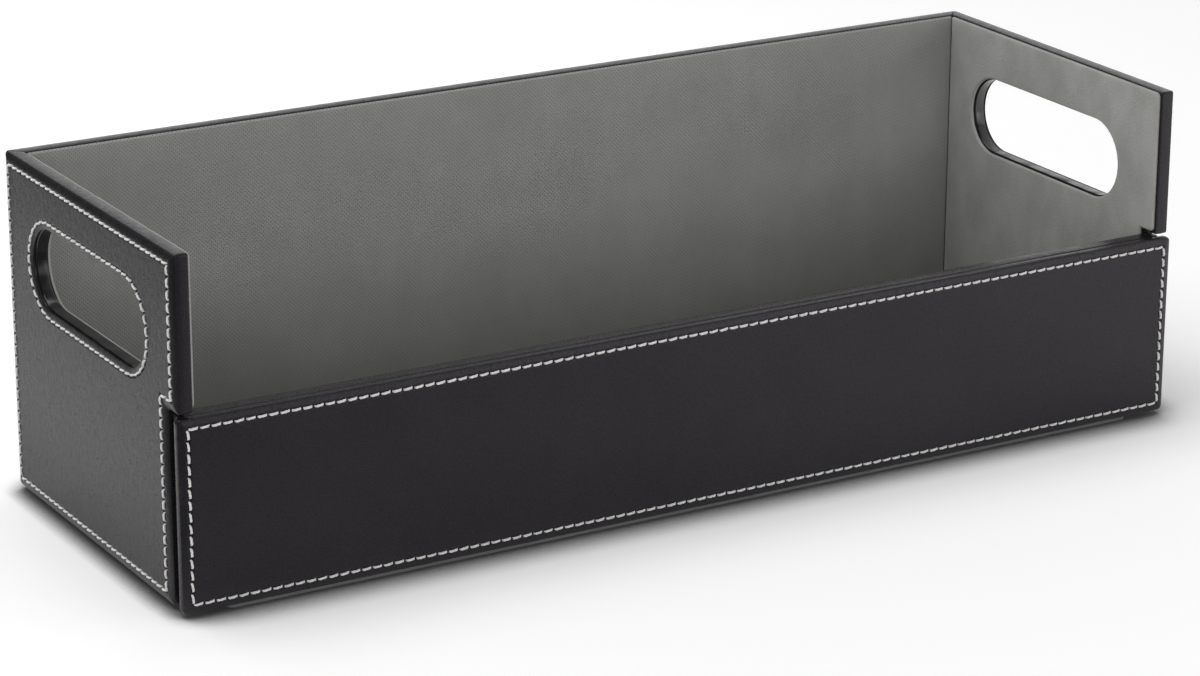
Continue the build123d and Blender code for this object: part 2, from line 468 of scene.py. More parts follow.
@dataclass(frozen=True)
class PuffedEdge:
    """A wrapped face from its rim to flat leathercloth: a puffed roll, then the seam's groove."""

    seam: float
    drop: float
    slope: float
    deep: float = 0.24 * MM
    width: float = 0.62 * MM
    reach: float = 2.2 * MM
    settle: float = 0.5 * MM
    dulled: float = 1.3 * MM
    roll_angle: float = math.radians(58)
    roll_steps: int = 8
    groove_steps: int = 17

    def puffed(self, inset: float) -> float:
        """Depth of the roll, a quarter ellipse on a slight slope that ends at the seam.

        Args:
            inset: distance in from the rim.

        Returns:
            The depth.
        """
        share = 1.0 - min(inset / self.seam, 1.0)
        ramp = self.slope * self.seam
        return (self.drop - ramp) * (1.0 - math.sqrt(1.0 - share * share)) + ramp * share

    def pulled(self, inset: float) -> float:
        """Depth that the thread pulls the surface in."""
        return self.deep * math.exp(-(((inset - self.seam) / self.width) ** 2))

    def stations(self) -> list[Station]:
        """Stations from the rim, over the roll and across the groove.

        Returns:
            The stations in order, ending flat at depth 0.
        """
        angles = [self.roll_angle * step / self.roll_steps for step in range(self.roll_steps + 1)]
        insets = [self.seam * (1.0 - math.cos(angle)) for angle in angles]
        start, end = insets[-1], self.seam + self.reach
        steps = range(1, self.groove_steps + 1)
        insets += [start + (end - start) * step / self.groove_steps for step in steps]
        stations = []
        for index, inset in enumerate(insets):
            turned = angles[index] if index < len(angles) else math.pi / 4
            fold = math.sin(min(4.0 * turned, math.pi))
            near = abs(inset - self.seam) < self.dulled
            line = self.pulled(inset) / self.deep if near else 0.0
            depth = self.puffed(inset) + self.pulled(inset)
            stations.append(Station(inset, depth, fold, line))
        return stations + [Station(end + self.settle, 0.0)]


def arc_stations(
    inset: float, depth: float, radius: float, turned: Range, steps: int
) -> list[Station]:
    """Stations round part of a circle in an edge's section, its fold mask strongest midway.

    Args:
        inset: inset of the circle's middle.
        depth: depth of its middle.
        radius: its radius.
        turned: first and last angle in degrees, from the way in, through the way down.
        steps: number of chords.

    Returns:
        The stations in order.
    """
    first, last = turned
    stations = []
    for step in range(steps + 1):
        angle = math.radians(first + (last - first) * step / steps)
        across, down = radius * math.cos(angle), radius * math.sin(angle)
        stations.append(Station(inset + across, depth + down, abs(math.sin(2 * angle))))
    return stations


def outward(stations: list[Station]) -> list[Station]:
    """The same stations with insets counted outward, as round a hole."""
    return [replace(station, inset=-station.inset) for station in stations]


# ---------------------------------------------------------------- shaders


class Nodes:
    """Lays out shader nodes in one tree."""

    def __init__(self, tree: bpy.types.NodeTree) -> None:
        """Works in tree."""
        self.tree = tree

    def add(self, kind: str, **settings: object) -> bpy.types.Node:
        """Adds a node.

        Args:
            kind: the node's type.
            settings: its properties by name.

        Returns:
            The node.
        """
        node = self.tree.nodes.new(kind)
        for name, value in settings.items():
            setattr(node, name, value)
        return node

    def feed(self, socket: Socket, value: object) -> None:
        """Links a socket into an input, or sets the input to a plain value.

        Args:
            socket: the input.
            value: an output to link, or a plain value.
        """
        if isinstance(value, Socket):
            self.tree.links.new(value, socket)
        else:
            socket.default_value = value

    def feed_all(self, sockets: Iterable[Socket], values: Iterable[object]) -> None:
        """Feeds as many inputs as there are values, in order."""
        for socket, value in zip(sockets, values):
            self.feed(socket, value)

    def maths(self, operation: str, *values: object) -> Socket:
        """Result of a Math node.

        Args:
            operation: what it works out.
            values: one to three inputs.

        Returns:
            The result.
        """
        node = self.add("ShaderNodeMath", operation=operation)
        self.feed_all(node.inputs, values)
        return node.outputs[0]

    def share(self, value: object, share: object) -> Socket:
        """Value times share."""
        return self.maths("MULTIPLY", value, share)

    def vector(self, operation: str, *values: object) -> Socket:
        """Result of a Vector Math node that gives a vector.

        Args:
            operation: what it works out.
            values: one to three inputs.

        Returns:
            The vector.
        """
        node = self.add("ShaderNodeVectorMath", operation=operation)
        self.feed_all(node.inputs, values)
        return node.outputs["Vector"]

    def span(self, value: object, over: Range, start: object, end: object) -> Socket:
        """A value carried smoothly from one range to another, and clamped.

        Args:
            value: the value that is carried.
            over: the values that give start and end.
            start: result at the range's first value and beyond it.
            end: result at its second.

        Returns:
            The result.
        """
        node = self.add("ShaderNodeMapRange", interpolation_type="SMOOTHSTEP")
        self.feed_all(node.inputs, (value, *over, start, end))
        return node.outputs[0]

    def blend(self, factor: object, first: object, second: object) -> Socket:
        """Colour between two others.

        Args:
            factor: 0 for the first, 1 for the second.
            first: a colour.
            second: a colour.

        Returns:
            The colour.
        """
        node = self.add("ShaderNodeMix", data_type="RGBA")
        colours = [socket for socket in node.inputs if socket.type == "RGBA"]
        self.feed(node.inputs[0], factor)
        self.feed_all(colours, (first, second))
        return next(socket for socket in node.outputs if socket.type == "RGBA")

    def choice(self, factor: object, first: object, second: object) -> Socket:
        """Value between two others.

        Args:
            factor: 0 for the first, 1 for the second.
            first: a value.
            second: a value.

        Returns:
            The value.
        """
        node = self.add("ShaderNodeMix", data_type="FLOAT")
        self.feed_all((node.inputs[0], node.inputs[2], node.inputs[3]), (factor, first, second))
        return node.outputs[0]

    def parts(self, place: Socket) -> tuple[Socket, Socket, Socket]:
        """The x, y and z of a vector.

        Args:
            place: the vector.

        Returns:
            The three values.
        """
        node = self.add("ShaderNodeSeparateXYZ")
        self.feed(node.inputs[0], place)
        return tuple(node.outputs)

    def noise(self, place: object, scale: object, detail: float, rough: float = 0.5) -> Socket:
        """Noise at a place, 0 to 1.

        Args:
            place: where it is read.
            scale: cells in a metre.
            detail: octaves over the first.
            rough: strength of each octave beside the one before.

        Returns:
            The noise.
        """
        node = self.add("ShaderNodeTexNoise")
        sockets = [node.inputs[name] for name in ("Vector", "Scale", "Detail", "Roughness")]
        self.feed_all(sockets, (place, scale, detail, rough))
        return node.outputs["Fac"]

    def group(self, tree: bpy.types.NodeTree, **inputs: object) -> bpy.types.NodeOutputs:
        """Adds a node group.

        Args:
            tree: the group.
            inputs: values or sockets for its named inputs.

        Returns:
            The group's outputs.
        """
        node = self.add("ShaderNodeGroup", node_tree=tree)
        for name, value in inputs.items():
            self.feed(node.inputs[name], value)
        return node.outputs


class Effect:
    """A shader node group under construction: named inputs in, masks and heights out."""

    def __init__(
        self, name: str, inputs: dict[str, tuple[str, object]], outputs: tuple[str, ...]
    ) -> None:
        """Makes the group's sockets.

        Args:
            name: the group's name.
            inputs: socket type and starting value of each input.
            outputs: names of the value outputs.
        """
        self.tree = bpy.data.node_groups.new(name, "ShaderNodeTree")
        for label, (kind, value) in inputs.items():
            socket = self.tree.interface.new_socket(label, in_out="INPUT", socket_type=kind)
            if value is not None:
                socket.default_value = value
        for label in outputs:
            self.tree.interface.new_socket(label, in_out="OUTPUT", socket_type="NodeSocketFloat")
        self.nodes = Nodes(self.tree)
        self.given = self.nodes.add("NodeGroupInput").outputs
        self.result = self.nodes.add("NodeGroupOutput").inputs

    def give(self, **results: Socket) -> bpy.types.NodeTree:
        """Feeds the group's named outputs and hands the group over.

        Args:
            results: the socket for each output.

        Returns:
            The group.
        """
        for name, value in results.items():
            self.nodes.feed(self.result[name], value)
        return self.tree


VECTOR = ("NodeSocketVector", None)
WHOLE: Range = (0.0, 1.0)


def number(value: float) -> tuple[str, float]:
    """A value input with its starting value."""
    return ("NodeSocketFloat", value)


class Effects:
    """The node groups that more than one finish uses, each built once.

    Sizes named rate are how many times finer one noise is than the one it goes with,
    and ranges are the noise values between which a mask goes from none to all.
    """

    wander_rate: float = 0.35
    crease_range: Range = (0.0, 0.16)
    dome_range: Range = (0.0, 0.42)
    pebble_fine_rate: float = 3.2
    pebble_fine_share: float = 0.35
    shade_range: Range = (0.3, 0.7)
    cloud_rate: float = 14.0
    cloud_range: Range = (0.25, 0.75)
    emboss_range: Range = (0.55, 1.0)
    pit_range: Range = (0.72, 0.98)
    patch_range: Range = (0.45, 0.75)
    speck_rate: float = 20.0
    speck_range: Range = (0.4, 0.7)
    least_speck: float = 0.2
    stretch_range: Range = (0.1, 0.9)
    fibre_squash: tuple[float, float, float] = (1.0, 2.6, 2.6)
    cross_squash: tuple[float, float, float] = (2.6, 1.0, 1.7)
    fleck_range: Range = (0.58, 0.72)

    def __init__(self) -> None:
        """Builds every group."""
        self.pebble = self.pebble_grain()
        self.mottle = self.slow_mottle()
        self.lattice = self.embossed_lattice()
        self.wear = self.fold_wear()
        self.fibre = self.pressed_fibre()

    def pebble_grain(self) -> bpy.types.NodeTree:
        """Leather grain: rounded pebbles of one cell size with creases between them.

        Returns:
            The group, which puts out Height and Crease.
        """
        inputs = {"Place": VECTOR, "Cell": number(0.8 * MM), "Unevenness": number(0.4)}
        effect = Effect("pebble_grain", inputs, ("Height", "Crease"))
        n, given = effect.nodes, effect.given
        scale = n.maths("DIVIDE", 1.0, given["Cell"])
        wander = n.add("ShaderNodeTexNoise")
        n.feed(wander.inputs["Vector"], given["Place"])
        n.feed(wander.inputs["Scale"], n.share(scale, self.wander_rate))
        drift = n.vector("SUBTRACT", wander.outputs["Color"], (0.5, 0.5, 0.5))
        stretch = n.vector("SCALE", drift)
        n.feed(stretch.node.inputs["Scale"], n.share(given["Cell"], given["Unevenness"]))
        cells = n.add("ShaderNodeTexVoronoi", feature="DISTANCE_TO_EDGE")
        n.feed(cells.inputs["Vector"], n.vector("ADD", given["Place"], stretch))
        n.feed(cells.inputs["Scale"], scale)
        edge = cells.outputs["Distance"]
        fine_scale = n.share(scale, self.pebble_fine_rate)
        fine = n.noise(given["Place"], fine_scale, detail=3.0, rough=0.6)
        dome = n.span(edge, self.dome_range, 0.0, 1.0)
        height = n.maths("ADD", dome, n.share(fine, self.pebble_fine_share))
        return effect.give(Height=height, Crease=n.span(edge, self.crease_range, 1.0, 0.0))

    def slow_mottle(self) -> bpy.types.NodeTree:
        """Slow variation over a surface, with a finer cloud on top.

        Returns:
            The group, which puts out Shade and Fine, each 0 to 1.
        """
        inputs = {"Place": VECTOR, "Size": number(30 * MM)}
        effect = Effect("slow_mottle", inputs, ("Shade", "Fine"))
        n, given = effect.nodes, effect.given
        scale = n.maths("DIVIDE", 1.0, given["Size"])
        shade = n.noise(given["Place"], scale, detail=3.0, rough=0.55)
        fine = n.noise(given["Place"], n.share(scale, self.cloud_rate), detail=4.0, rough=0.65)
        shade = n.span(shade, self.shade_range, 0.0, 1.0)
        return effect.give(Shade=shade, Fine=n.span(fine, self.cloud_range, 0.0, 1.0))

    def embossed_lattice(self) -> bpy.types.NodeTree:
        """Diamond lattice pressed into cloth: raised diamonds and the pits between them.

        Returns:
            The group, which puts out Height and Pit.
        """
        inputs = {"Along": number(0.0), "Up": number(0.0), "Pitch": number(2 * MM)}
        effect = Effect("embossed_lattice", inputs, ("Height", "Pit"))
        n, given = effect.nodes, effect.given
        turns = n.maths("DIVIDE", 2 * math.pi, given["Pitch"])
        along, up = n.share(given["Along"], turns), n.share(given["Up"], turns)
        rising = n.maths("COSINE", n.maths("ADD", along, up))
        falling = n.maths("COSINE", n.maths("SUBTRACT", along, up))
        both = n.maths("MULTIPLY_ADD", n.maths("ADD", rising, falling), 0.25, 0.5)
        pressed = n.span(both, self.emboss_range, 0.0, 1.0)
        pit_shade = n.span(both, self.pit_range, 0.0, 1.0)
        return effect.give(Height=n.maths("SUBTRACT", 1.0, pressed), Pit=pit_shade)

    def fold_wear(self) -> bpy.types.NodeTree:
        """Rubbed and stretched leathercloth along folds, broken up by noise.

        Returns:
            The group, which puts out Rub and Stretch.
        """
        inputs = {"Place": VECTOR, "Fold": number(0.0), "Patch": number(9 * MM)}
        effect = Effect("fold_wear", inputs, ("Rub", "Stretch"))
        n, given = effect.nodes, effect.given
        scale = n.maths("DIVIDE", 1.0, given["Patch"])
        patches = n.noise(given["Place"], scale, detail=4.0, rough=0.6)
        specks = n.noise(given["Place"], n.share(scale, self.speck_rate), detail=2.0)
        patches = n.span(patches, self.patch_range, 0.0, 1.0)
        rough_edge = n.share(patches, n.span(specks, self.speck_range, self.least_speck, 1.0))
        stretch = n.span(given["Fold"], self.stretch_range, 0.0, 1.0)
        return effect.give(Rub=n.share(given["Fold"], rough_edge), Stretch=stretch)

    def pressed_fibre(self) -> bpy.types.NodeTree:
        """Short matted fibres, as in board, felt and card.

        Returns:
            The group, which puts out Height and Fleck.
        """
        inputs = {"Place": VECTOR, "Fibre": number(0.5 * MM)}
        effect = Effect("pressed_fibre", inputs, ("Height", "Fleck"))
        n, given = effect.nodes, effect.given
        scale = n.maths("DIVIDE", 1.0, given["Fibre"])
        squashed = [
            n.vector("MULTIPLY", given["Place"], squash)
            for squash in (self.fibre_squash, self.cross_squash)
        ]
        layers = [n.noise(place, scale, detail=4.0, rough=0.7) for place in squashed]
        matted = n.maths("MAXIMUM", *layers)
        return effect.give(Height=matted, Fleck=n.span(matted, self.fleck_range, 0.0, 1.0))


class Dress:
    """A material being made: its tree, its shader and the surface's own place."""

    def __init__(self, name: str) -> None:
        """Starts a material with one Principled shader.

        Args:
            name: the material's name.
        """
        self.material = bpy.data.materials.new(name)
        self.material.use_nodes = True
        self.nodes = Nodes(self.material.node_tree)
        self.shader = self.material.node_tree.nodes["Principled BSDF"]
        self.place = self.nodes.add("ShaderNodeTexCoord").outputs["Object"]

    def mask(self, name: str) -> Socket:
        """A mask kept on the mesh under that name."""
        return self.nodes.add("ShaderNodeAttribute", attribute_name=name).outputs["Fac"]

    def set(self, **values: object) -> None:
        """Feeds the shader's sockets, named with _ for a space."""
        for name, value in values.items():
            self.nodes.feed(self.shader.inputs[name.replace("_", " ")], value)

    def bump(
        self, height: Socket, distance: float, strength: float = 1.0, under: Socket | None = None
    ) -> Socket:
        """Normal of a height field that stands distance high.

        Args:
            height: heights, 0 to 1.
            distance: metres that a height of 1 stands.
            strength: share of the effect.
            under: normal that this one is laid over.

        Returns:
            The normal.
        """
        node = self.nodes.add("ShaderNodeBump")
        node.inputs["Distance"].default_value = distance
        node.inputs["Strength"].default_value = strength
        self.nodes.feed(node.inputs["Height"], height)
        if under is not None:
            self.nodes.feed(node.inputs["Normal"], under)
        return node.outputs["Normal"]


def colour(red: float, green: float, blue: float) -> Colour:
    """A linear colour with full alpha."""
    return (red, green, blue, 1.0)


BLACK = colour(0.0, 0.0, 0.0)
WHITE = colour(1.0, 1.0, 1.0)


@dataclass(frozen=True)
class Leathercloth:
    """Black leathercloth with a fine pebble grain and a low sheen."""

    name: str = "leathercloth"
    ground: Colour = colour(0.0084, 0.0074, 0.0090)
    faded: Colour = colour(0.0118, 0.0104, 0.0124)
    rubbed: Colour = colour(0.05, 0.048, 0.047)
    crease_and_groove_shade: Colour = colour(0.004, 0.004, 0.0045)
    gleam: Colour = colour(0.985, 0.925, 1.0)
    cell: float = 0.85 * MM
    grain_height: float = 0.017 * MM
    mottle: float = 38 * MM
    mottle_height: float = 0.06 * MM
    crease_share: float = 0.55
    rub_share: float = 0.45
    groove_share: float = 0.6
    gloss: Range = (0.18, 0.27)
    crease_dulling: float = 0.16
    fold_dulling: float = 0.04
    groove_dulling: float = 0.22

    def material(self, effects: Effects) -> Material:
        """Makes the finish.

        Args:
            effects: the shared node groups.

        Returns:
            The material.
        """
        dress = Dress(self.name)
        n = dress.nodes
        grain = n.group(effects.pebble, Place=dress.place, Cell=self.cell)
        mottle = n.group(effects.mottle, Place=dress.place, Size=self.mottle)
        wear = n.group(effects.wear, Place=dress.place, Fold=dress.mask("fold"))
        groove = dress.mask("seam")
        tone = n.blend(mottle["Shade"], self.ground, self.faded)
        # Painted shade: the grain's creases are darkened.
        tone = n.blend(n.share(grain["Crease"], self.crease_share), tone, self.crease_and_groove_shade)
        tone = n.blend(n.share(wear["Rub"], self.rub_share), tone, self.rubbed)
        # Painted shade: the leathercloth is darkened along the seam's groove beside the stitches.
        tone = n.blend(n.share(groove, self.groove_share), tone, self.crease_and_groove_shade)
        roughness = n.span(mottle["Fine"], WHOLE, *self.gloss)
        roughness = n.maths("ADD", roughness, n.share(grain["Crease"], self.crease_dulling))
        roughness = n.maths("ADD", roughness, n.share(wear["Stretch"], self.fold_dulling))
        roughness = n.maths("ADD", roughness, n.share(groove, self.groove_dulling))
        slow = dress.bump(mottle["Fine"], self.mottle_height, strength=0.8)
        dress.set(Base_Color=tone, Roughness=roughness, Specular_Tint=self.gleam)
        dress.set(Normal=dress.bump(grain["Height"], self.grain_height, under=slow))
        return dress.material


@dataclass(frozen=True)
class Thread:
    """Off-white twisted sewing thread."""

    name: str = "thread"
    light: Colour = colour(0.65, 0.638, 0.632)
    shaded: Colour = colour(0.44, 0.43, 0.41)
    fibre: float = 0.12 * MM
    relief: float = 0.03 * MM
    fleck_share: float = 0.7
    roughness: Range = (0.6, 0.8)
    sheen: float = 0.15

    def material(self, effects: Effects) -> Material:
        """Makes the finish.

        Args:
            effects: the shared node groups.

        Returns:
            The material.
        """
        dress = Dress(self.name)
        n = dress.nodes
        fibre = n.group(effects.fibre, Place=dress.place, Fibre=self.fibre)
        tone = n.blend(n.share(fibre["Fleck"], self.fleck_share), self.light, self.shaded)
        dress.set(Base_Color=tone, Roughness=n.span(fibre["Height"], (0.3, 0.7), *self.roughness))
        dress.set(Normal=dress.bump(fibre["Height"], self.relief), Sheen_Weight=self.sheen)
        return dress.material


@dataclass(frozen=True)
class EdgingStrip:
    """Smooth black strip, glossier than the leathercloth."""

    name: str = "edging_strip"
    ground: Colour = colour(0.004, 0.004, 0.0045)
    scuffed: Colour = colour(0.01, 0.01, 0.0105)
    mottle: float = 14 * MM
    ripple: float = 9 * MM
    ripple_height: float = 0.9 * MM
    cell: float = 0.5 * MM
    grain_height: float = 0.008 * MM
    roughness: Range = (0.12, 0.24)
    shine: float = 0.9

    def material(self, effects: Effects) -> Material:
        """Makes the finish.

        Args:
            effects: the shared node groups.

        Returns:
            The material.
        """
        dress = Dress(self.name)
        n = dress.nodes
        mottle = n.group(effects.mottle, Place=dress.place, Size=self.mottle)
        grain = n.group(effects.pebble, Place=dress.place, Cell=self.cell)
        tone = n.blend(mottle["Fine"], self.ground, self.scuffed)
        swell = n.noise(dress.place, 1.0 / self.ripple, detail=0.0)
        ripple = dress.bump(swell, self.ripple_height, strength=0.7)
        dress.set(Base_Color=tone, Roughness=n.span(mottle["Shade"], WHOLE, *self.roughness))
        dress.set(Normal=dress.bump(grain["Height"], self.grain_height, under=ripple))
        dress.set(Specular_IOR_Level=self.shine)
        return dress.material


class Lie(enum.Enum):
    """Which way a lining panel lies, for its emboss to follow the panel."""

    END = "end"
    LONG = "long"
    FLOOR = "floor"


@dataclass(frozen=True)
class LiningCloth:
    """Grey lining cloth: a pressed diamond lattice, or a plain mottled grain."""

    lie: Lie
    pitch: float = 1.7 * MM
    depth: float = 0.07 * MM
    cell: float = 1.3 * MM
    grain: float = 0.0
    fibre: float = 0.5 * MM
    weave: float = 0.03 * MM
    mottle: float = 45 * MM
    mottle_share: float = 0.3
    streak: float = 13 * MM
    streak_stretch: tuple[float, float, float] = (1.0, 1.0, 0.65)
    streak_share: float = 0.25
    fleck_share: float = 0.18
    pit_share: float = 0.85
    ground: Colour = colour(0.285, 0.285, 0.272)
    shade: Colour = colour(0.2, 0.2, 0.19)
    pit_shade: Colour = colour(0.10, 0.10, 0.097)
    roughness: Range = (0.62, 0.78)
    sheen: float = 0.08

    def surface(self, dress: Dress) -> tuple[Socket, Socket]:
        """The two directions in the panel's own plane."""
        x, y, z = dress.nodes.parts(dress.place)
        return {Lie.END: (y, z), Lie.LONG: (x, z), Lie.FLOOR: (x, y)}[self.lie]

    def material(self, effects: Effects) -> Material:
        """Makes the finish.

        Args:
            effects: the shared node groups.

        Returns:
            The material.
        """
        dress = Dress(f"lining_cloth_{self.lie.value}")
        n = dress.nodes
        along, up = self.surface(dress)
        lattice = n.group(effects.lattice, Along=along, Up=up, Pitch=self.pitch)
        fibre = n.group(effects.fibre, Place=dress.place, Fibre=self.fibre)
        mottle = n.group(effects.mottle, Place=dress.place, Size=self.mottle)
        hung = n.vector("MULTIPLY", dress.place, self.streak_stretch)
        streak = n.group(effects.mottle, Place=hung, Size=self.streak)
        tone = n.blend(n.share(mottle["Shade"], self.mottle_share), self.ground, self.shade)
        tone = n.blend(n.share(streak["Shade"], self.streak_share), tone, self.shade)
        # Painted shade: the pits of the pressed lattice are darkened.
        tone = n.blend(n.share(lattice["Pit"], self.pit_share), tone, self.pit_shade)
        tone = n.blend(n.share(fibre["Fleck"], self.fleck_share), tone, self.ground)
        weave = dress.bump(fibre["Height"], self.weave, strength=0.8)
        if self.grain:
            grain = n.group(effects.pebble, Place=dress.place, Cell=self.cell)
            weave = dress.bump(grain["Height"], self.grain, under=weave)
        if self.pit_share:
            weave = dress.bump(lattice["Height"], self.depth, under=weave)
        dress.set(Base_Color=tone, Roughness=n.span(mottle["Fine"], WHOLE, *self.roughness))
        dress.set(Normal=weave, Sheen_Weight=self.sheen)
        return dress.material


@dataclass(frozen=True)
class PressedStock:
    """Board, card or felt: matted fibres in one colour with flecks of another."""

    name: str
    ground: Colour
    fleck: Colour
    fibre: float
    relief: float
    roughness: Range = (0.79, 0.91)
    sheen: float = 0.0
    mottle: float = 26 * MM
    mottle_share: float = 0.3

    def material(self, effects: Effects) -> Material:
        """Makes the finish.

        Args:
            effects: the shared node groups.

        Returns:
            The material.
        """
        dress = Dress(self.name)
        n = dress.nodes
        fibre = n.group(effects.fibre, Place=dress.place, Fibre=self.fibre)
        mottle = n.group(effects.mottle, Place=dress.place, Size=self.mottle)
        tone = n.blend(n.share(mottle["Shade"], self.mottle_share), self.ground, self.fleck)
        tone = n.blend(fibre["Fleck"], tone, self.fleck)
        dress.set(Base_Color=tone, Roughness=n.span(mottle["Fine"], WHOLE, *self.roughness))
        dress.set(Normal=dress.bump(fibre["Height"], self.relief), Sheen_Weight=self.sheen)
        return dress.material


FIBREBOARD = PressedStock(
    "fibreboard",
    ground=colour(0.33, 0.22, 0.13),
    fleck=colour(0.5, 0.37, 0.24),
    fibre=0.6 * MM,
    relief=0.05 * MM,
)
STAINED_BOARD = replace(
    FIBREBOARD,
    name="stained_board",
    ground=colour(0.018, 0.017, 0.017),
    fleck=colour(0.04, 0.037, 0.034),
)
GREY_CARD = PressedStock(
    "grey_card",
    ground=colour(0.3, 0.285, 0.26),
    fleck=colour(0.42, 0.4, 0.37),
    fibre=0.7 * MM,
    relief=0.03 * MM,
)
BLACK_CARD = replace(
    GREY_CARD,
    name="black_card",
    ground=colour(0.09, 0.09, 0.09),
    fleck=colour(0.13, 0.13, 0.13),
)
BLACK_FELT = PressedStock(
    "black_felt",
    ground=colour(0.012, 0.012, 0.013),
    fleck=colour(0.045, 0.045, 0.047),
    fibre=0.45 * MM,
    relief=0.16 * MM,
    roughness=(0.86, 0.98),
    sheen=0.3,
)
PLAIN_LINING = LiningCloth(
    Lie.END,
    grain=0.08 * MM,
    streak_share=0.45,
    pit_share=0.0,
    ground=colour(0.33, 0.33, 0.315),
)


@dataclass(frozen=True)
class Finishes:
    """Every material of the bin, made once."""

    leathercloth: Material
    thread: Material
    edging: Material
    lining: dict[Lie, Material]
    board: Material
    stained_board: Material
    card: Material
    black_card: Material
    felt: Material

    @classmethod
    def make(cls) -> "Finishes":
        """Builds the effects and the materials that use them.

        Returns:
            The materials.
        """
        effects = Effects()
        sheets = (Leathercloth(), Thread(), EdgingStrip())
        linings = (PLAIN_LINING, LiningCloth(Lie.LONG), LiningCloth(Lie.FLOOR))
        stocks = (FIBREBOARD, STAINED_BOARD, GREY_CARD, BLACK_CARD, BLACK_FELT)
        return cls(
            *[finish.material(effects) for finish in sheets],
            {cloth.lie: cloth.material(effects) for cloth in linings},
            *[stock.material(effects) for stock in stocks],
        )


# ---------------------------------------------------------------- the bin's sub-assemblies


@dataclass(frozen=True)
class Places:
    """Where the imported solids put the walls, read once from the frame."""

    side_low: Vector
    side_high: Vector
    front_low: Vector
    front_high: Vector
    fascia_low: Vector
    fascia_high: Vector
    back_low: Vector
    back_high: Vector
    strip_low: Vector
    strip_high: Vector
    nose_underside: float

    @classmethod
    def read(cls) -> "Places":
        """Reads the boxes of the covers and the edging strip.

        Returns:
            The places.
        """
        side, *others = [
            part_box(name)
            for name in (
                "left_side_cover",
                "front_cover",
                "fascia_cover",
                "back_cover",
                "left_handle_edging",
            )
        ]
        nose = [
            vert.co.z
            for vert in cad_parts["left_side_cover"].data.vertices
            if vert.co.y < side[0].y + 1 * MM
        ]
        return cls(*[corner for box in (side, *others) for corner in box], min(nose))

    @property
    def wall(self) -> float:
        """Thickness of a wrapped side."""
        return self.side_high.x - self.side_low.x


@dataclass
class Stitching:
    """Rows of saddle stitches of twisted thread, all lying on one face."""

    name: str
    face: Face
    rows: list[list[Vector]]
    seed: int
    radius: float = 0.54 * MM
    lift: float = 0.2 * MM
    sink: float = 0.7 * MM
    clear: float = 0.4 * MM
    slant: float = 0.2 * MM
    ply_twist: float = 2.3
    ply_depth: float = 0.26
    slant_spread: Range = (0.6, 1.4)
    thick_spread: Range = (0.94, 1.06)
    end_thickness: float = 0.72
    arch_power: int = 5
    sections: int = 13
    sides: int = 8
    smooth_angle: float = math.radians(60)

    def build(self, finish: Material) -> Piece:
        """Makes every stitch as a capped tube of two twisted plies.

        Args:
            finish: the thread's material.

        Returns:
            The piece.
        """
        skin = Skin(self.name, self.face)
        chance = random.Random(self.seed)
        for row in self.rows:
            for start, end in zip(row, row[1:]):
                self.stitch(skin, start, end, chance)
        return skin.finish(finish, self.smooth_angle)

    def stitch(self, skin: Skin, start: Vector, end: Vector, chance: random.Random) -> None:
        """Adds one stitch, diving into a needle hole at both ends.

        Args:
            skin: the mesh that it goes into.
            start: needle hole at one end.
            end: needle hole at the other.
            chance: source of the small differences between stitches.
        """
        along = (end - start).normalized()
        aside = Vector((-along.y, along.x))
        tilt = self.slant * chance.uniform(*self.slant_spread) * self.face.handed
        first = start + along * self.clear + aside * tilt
        last = end - along * self.clear - aside * tilt
        full = self.radius * chance.uniform(*self.thick_spread)
        phase = chance.uniform(0.0, math.pi)
        rings = []
        for section in range(self.sections):
            share = section / (self.sections - 1)
            arch = 1.0 - abs(2 * share - 1) ** self.arch_power
            height = self.lift * arch - self.sink * (1.0 - arch)
            thick = full * (self.end_thickness + (1.0 - self.end_thickness) * math.sqrt(arch))
            centre = first.lerp(last, share)
            twist = phase + share * self.ply_twist * math.pi
            ring = []
            for side in range(self.sides):
                angle = 2 * math.pi * side / self.sides
                reach = thick * (1.0 - self.ply_depth * (1.0 - abs(math.cos(angle - twist))))
                flat = centre + aside * (reach * math.cos(angle))
                place = skin.face.point(flat, -height - reach * math.sin(angle))
                ring.append(skin.mesh.verts.new(place))
            rings.append(ring)
        for one, two in zip(rings, rings[1:]):
            skin.bridge(one, two)
        skin.mesh.faces.new(rings[0])
        skin.mesh.faces.new(rings[-1])


@dataclass(frozen=True)
class Wrapping:
    """How leathercloth goes round a board: its folds, its seam and its turn-in."""

    thick: float = 0.9 * MM
    turn_in: float = 12.0 * MM
    outer_fold: float = 1.4 * MM
    inner_fold: float = 0.8 * MM
    seam_inset: float = 4.3 * MM
    corner: float = 1.5 * MM
    crown: float = 0.08 * MM
    crown_rub: float = 0.25
    slope: float = 0.11
    inner_steps: int = 5
    outer_steps: int = 8

    @property
    def margin(self) -> float:
        """Inset at which the turn-in ends."""
        return self.thick + self.turn_in

    def turned_in(self, thickness: float) -> list[Station]:
        """Stations of the turn-in on a wall's inner face, up to its fold and its rim's crown.

        Args:
            thickness: thickness of the wrapped wall.

        Returns:
            The stations in order.
        """
        middle = (thickness - self.inner_fold + self.outer_fold) / 2
        return [
            Station(self.thick, self.thick),
            Station(self.thick, thickness - self.thick),
            Station(self.margin, thickness - self.thick),
            Station(self.margin, thickness),
            Station(self.margin / 2, thickness),
            *self.inner_arc(thickness),
            Station(-self.crown, middle, self.crown_rub),
        ]

    def inner_arc(self, thickness: float) -> list[Station]:
        """Stations round the fold at a wall's inner face, from the face to the rim."""
        fold = self.inner_fold
        return arc_stations(fold, thickness - fold, fold, (90.0, 180.0), self.inner_steps)

    def outer_arc(self) -> list[Station]:
        """Stations round the fold at a wall's outer face, from the rim to the face."""
        fold = self.outer_fold
        return arc_stations(fold, fold, fold, (180.0, 270.0), self.outer_steps)


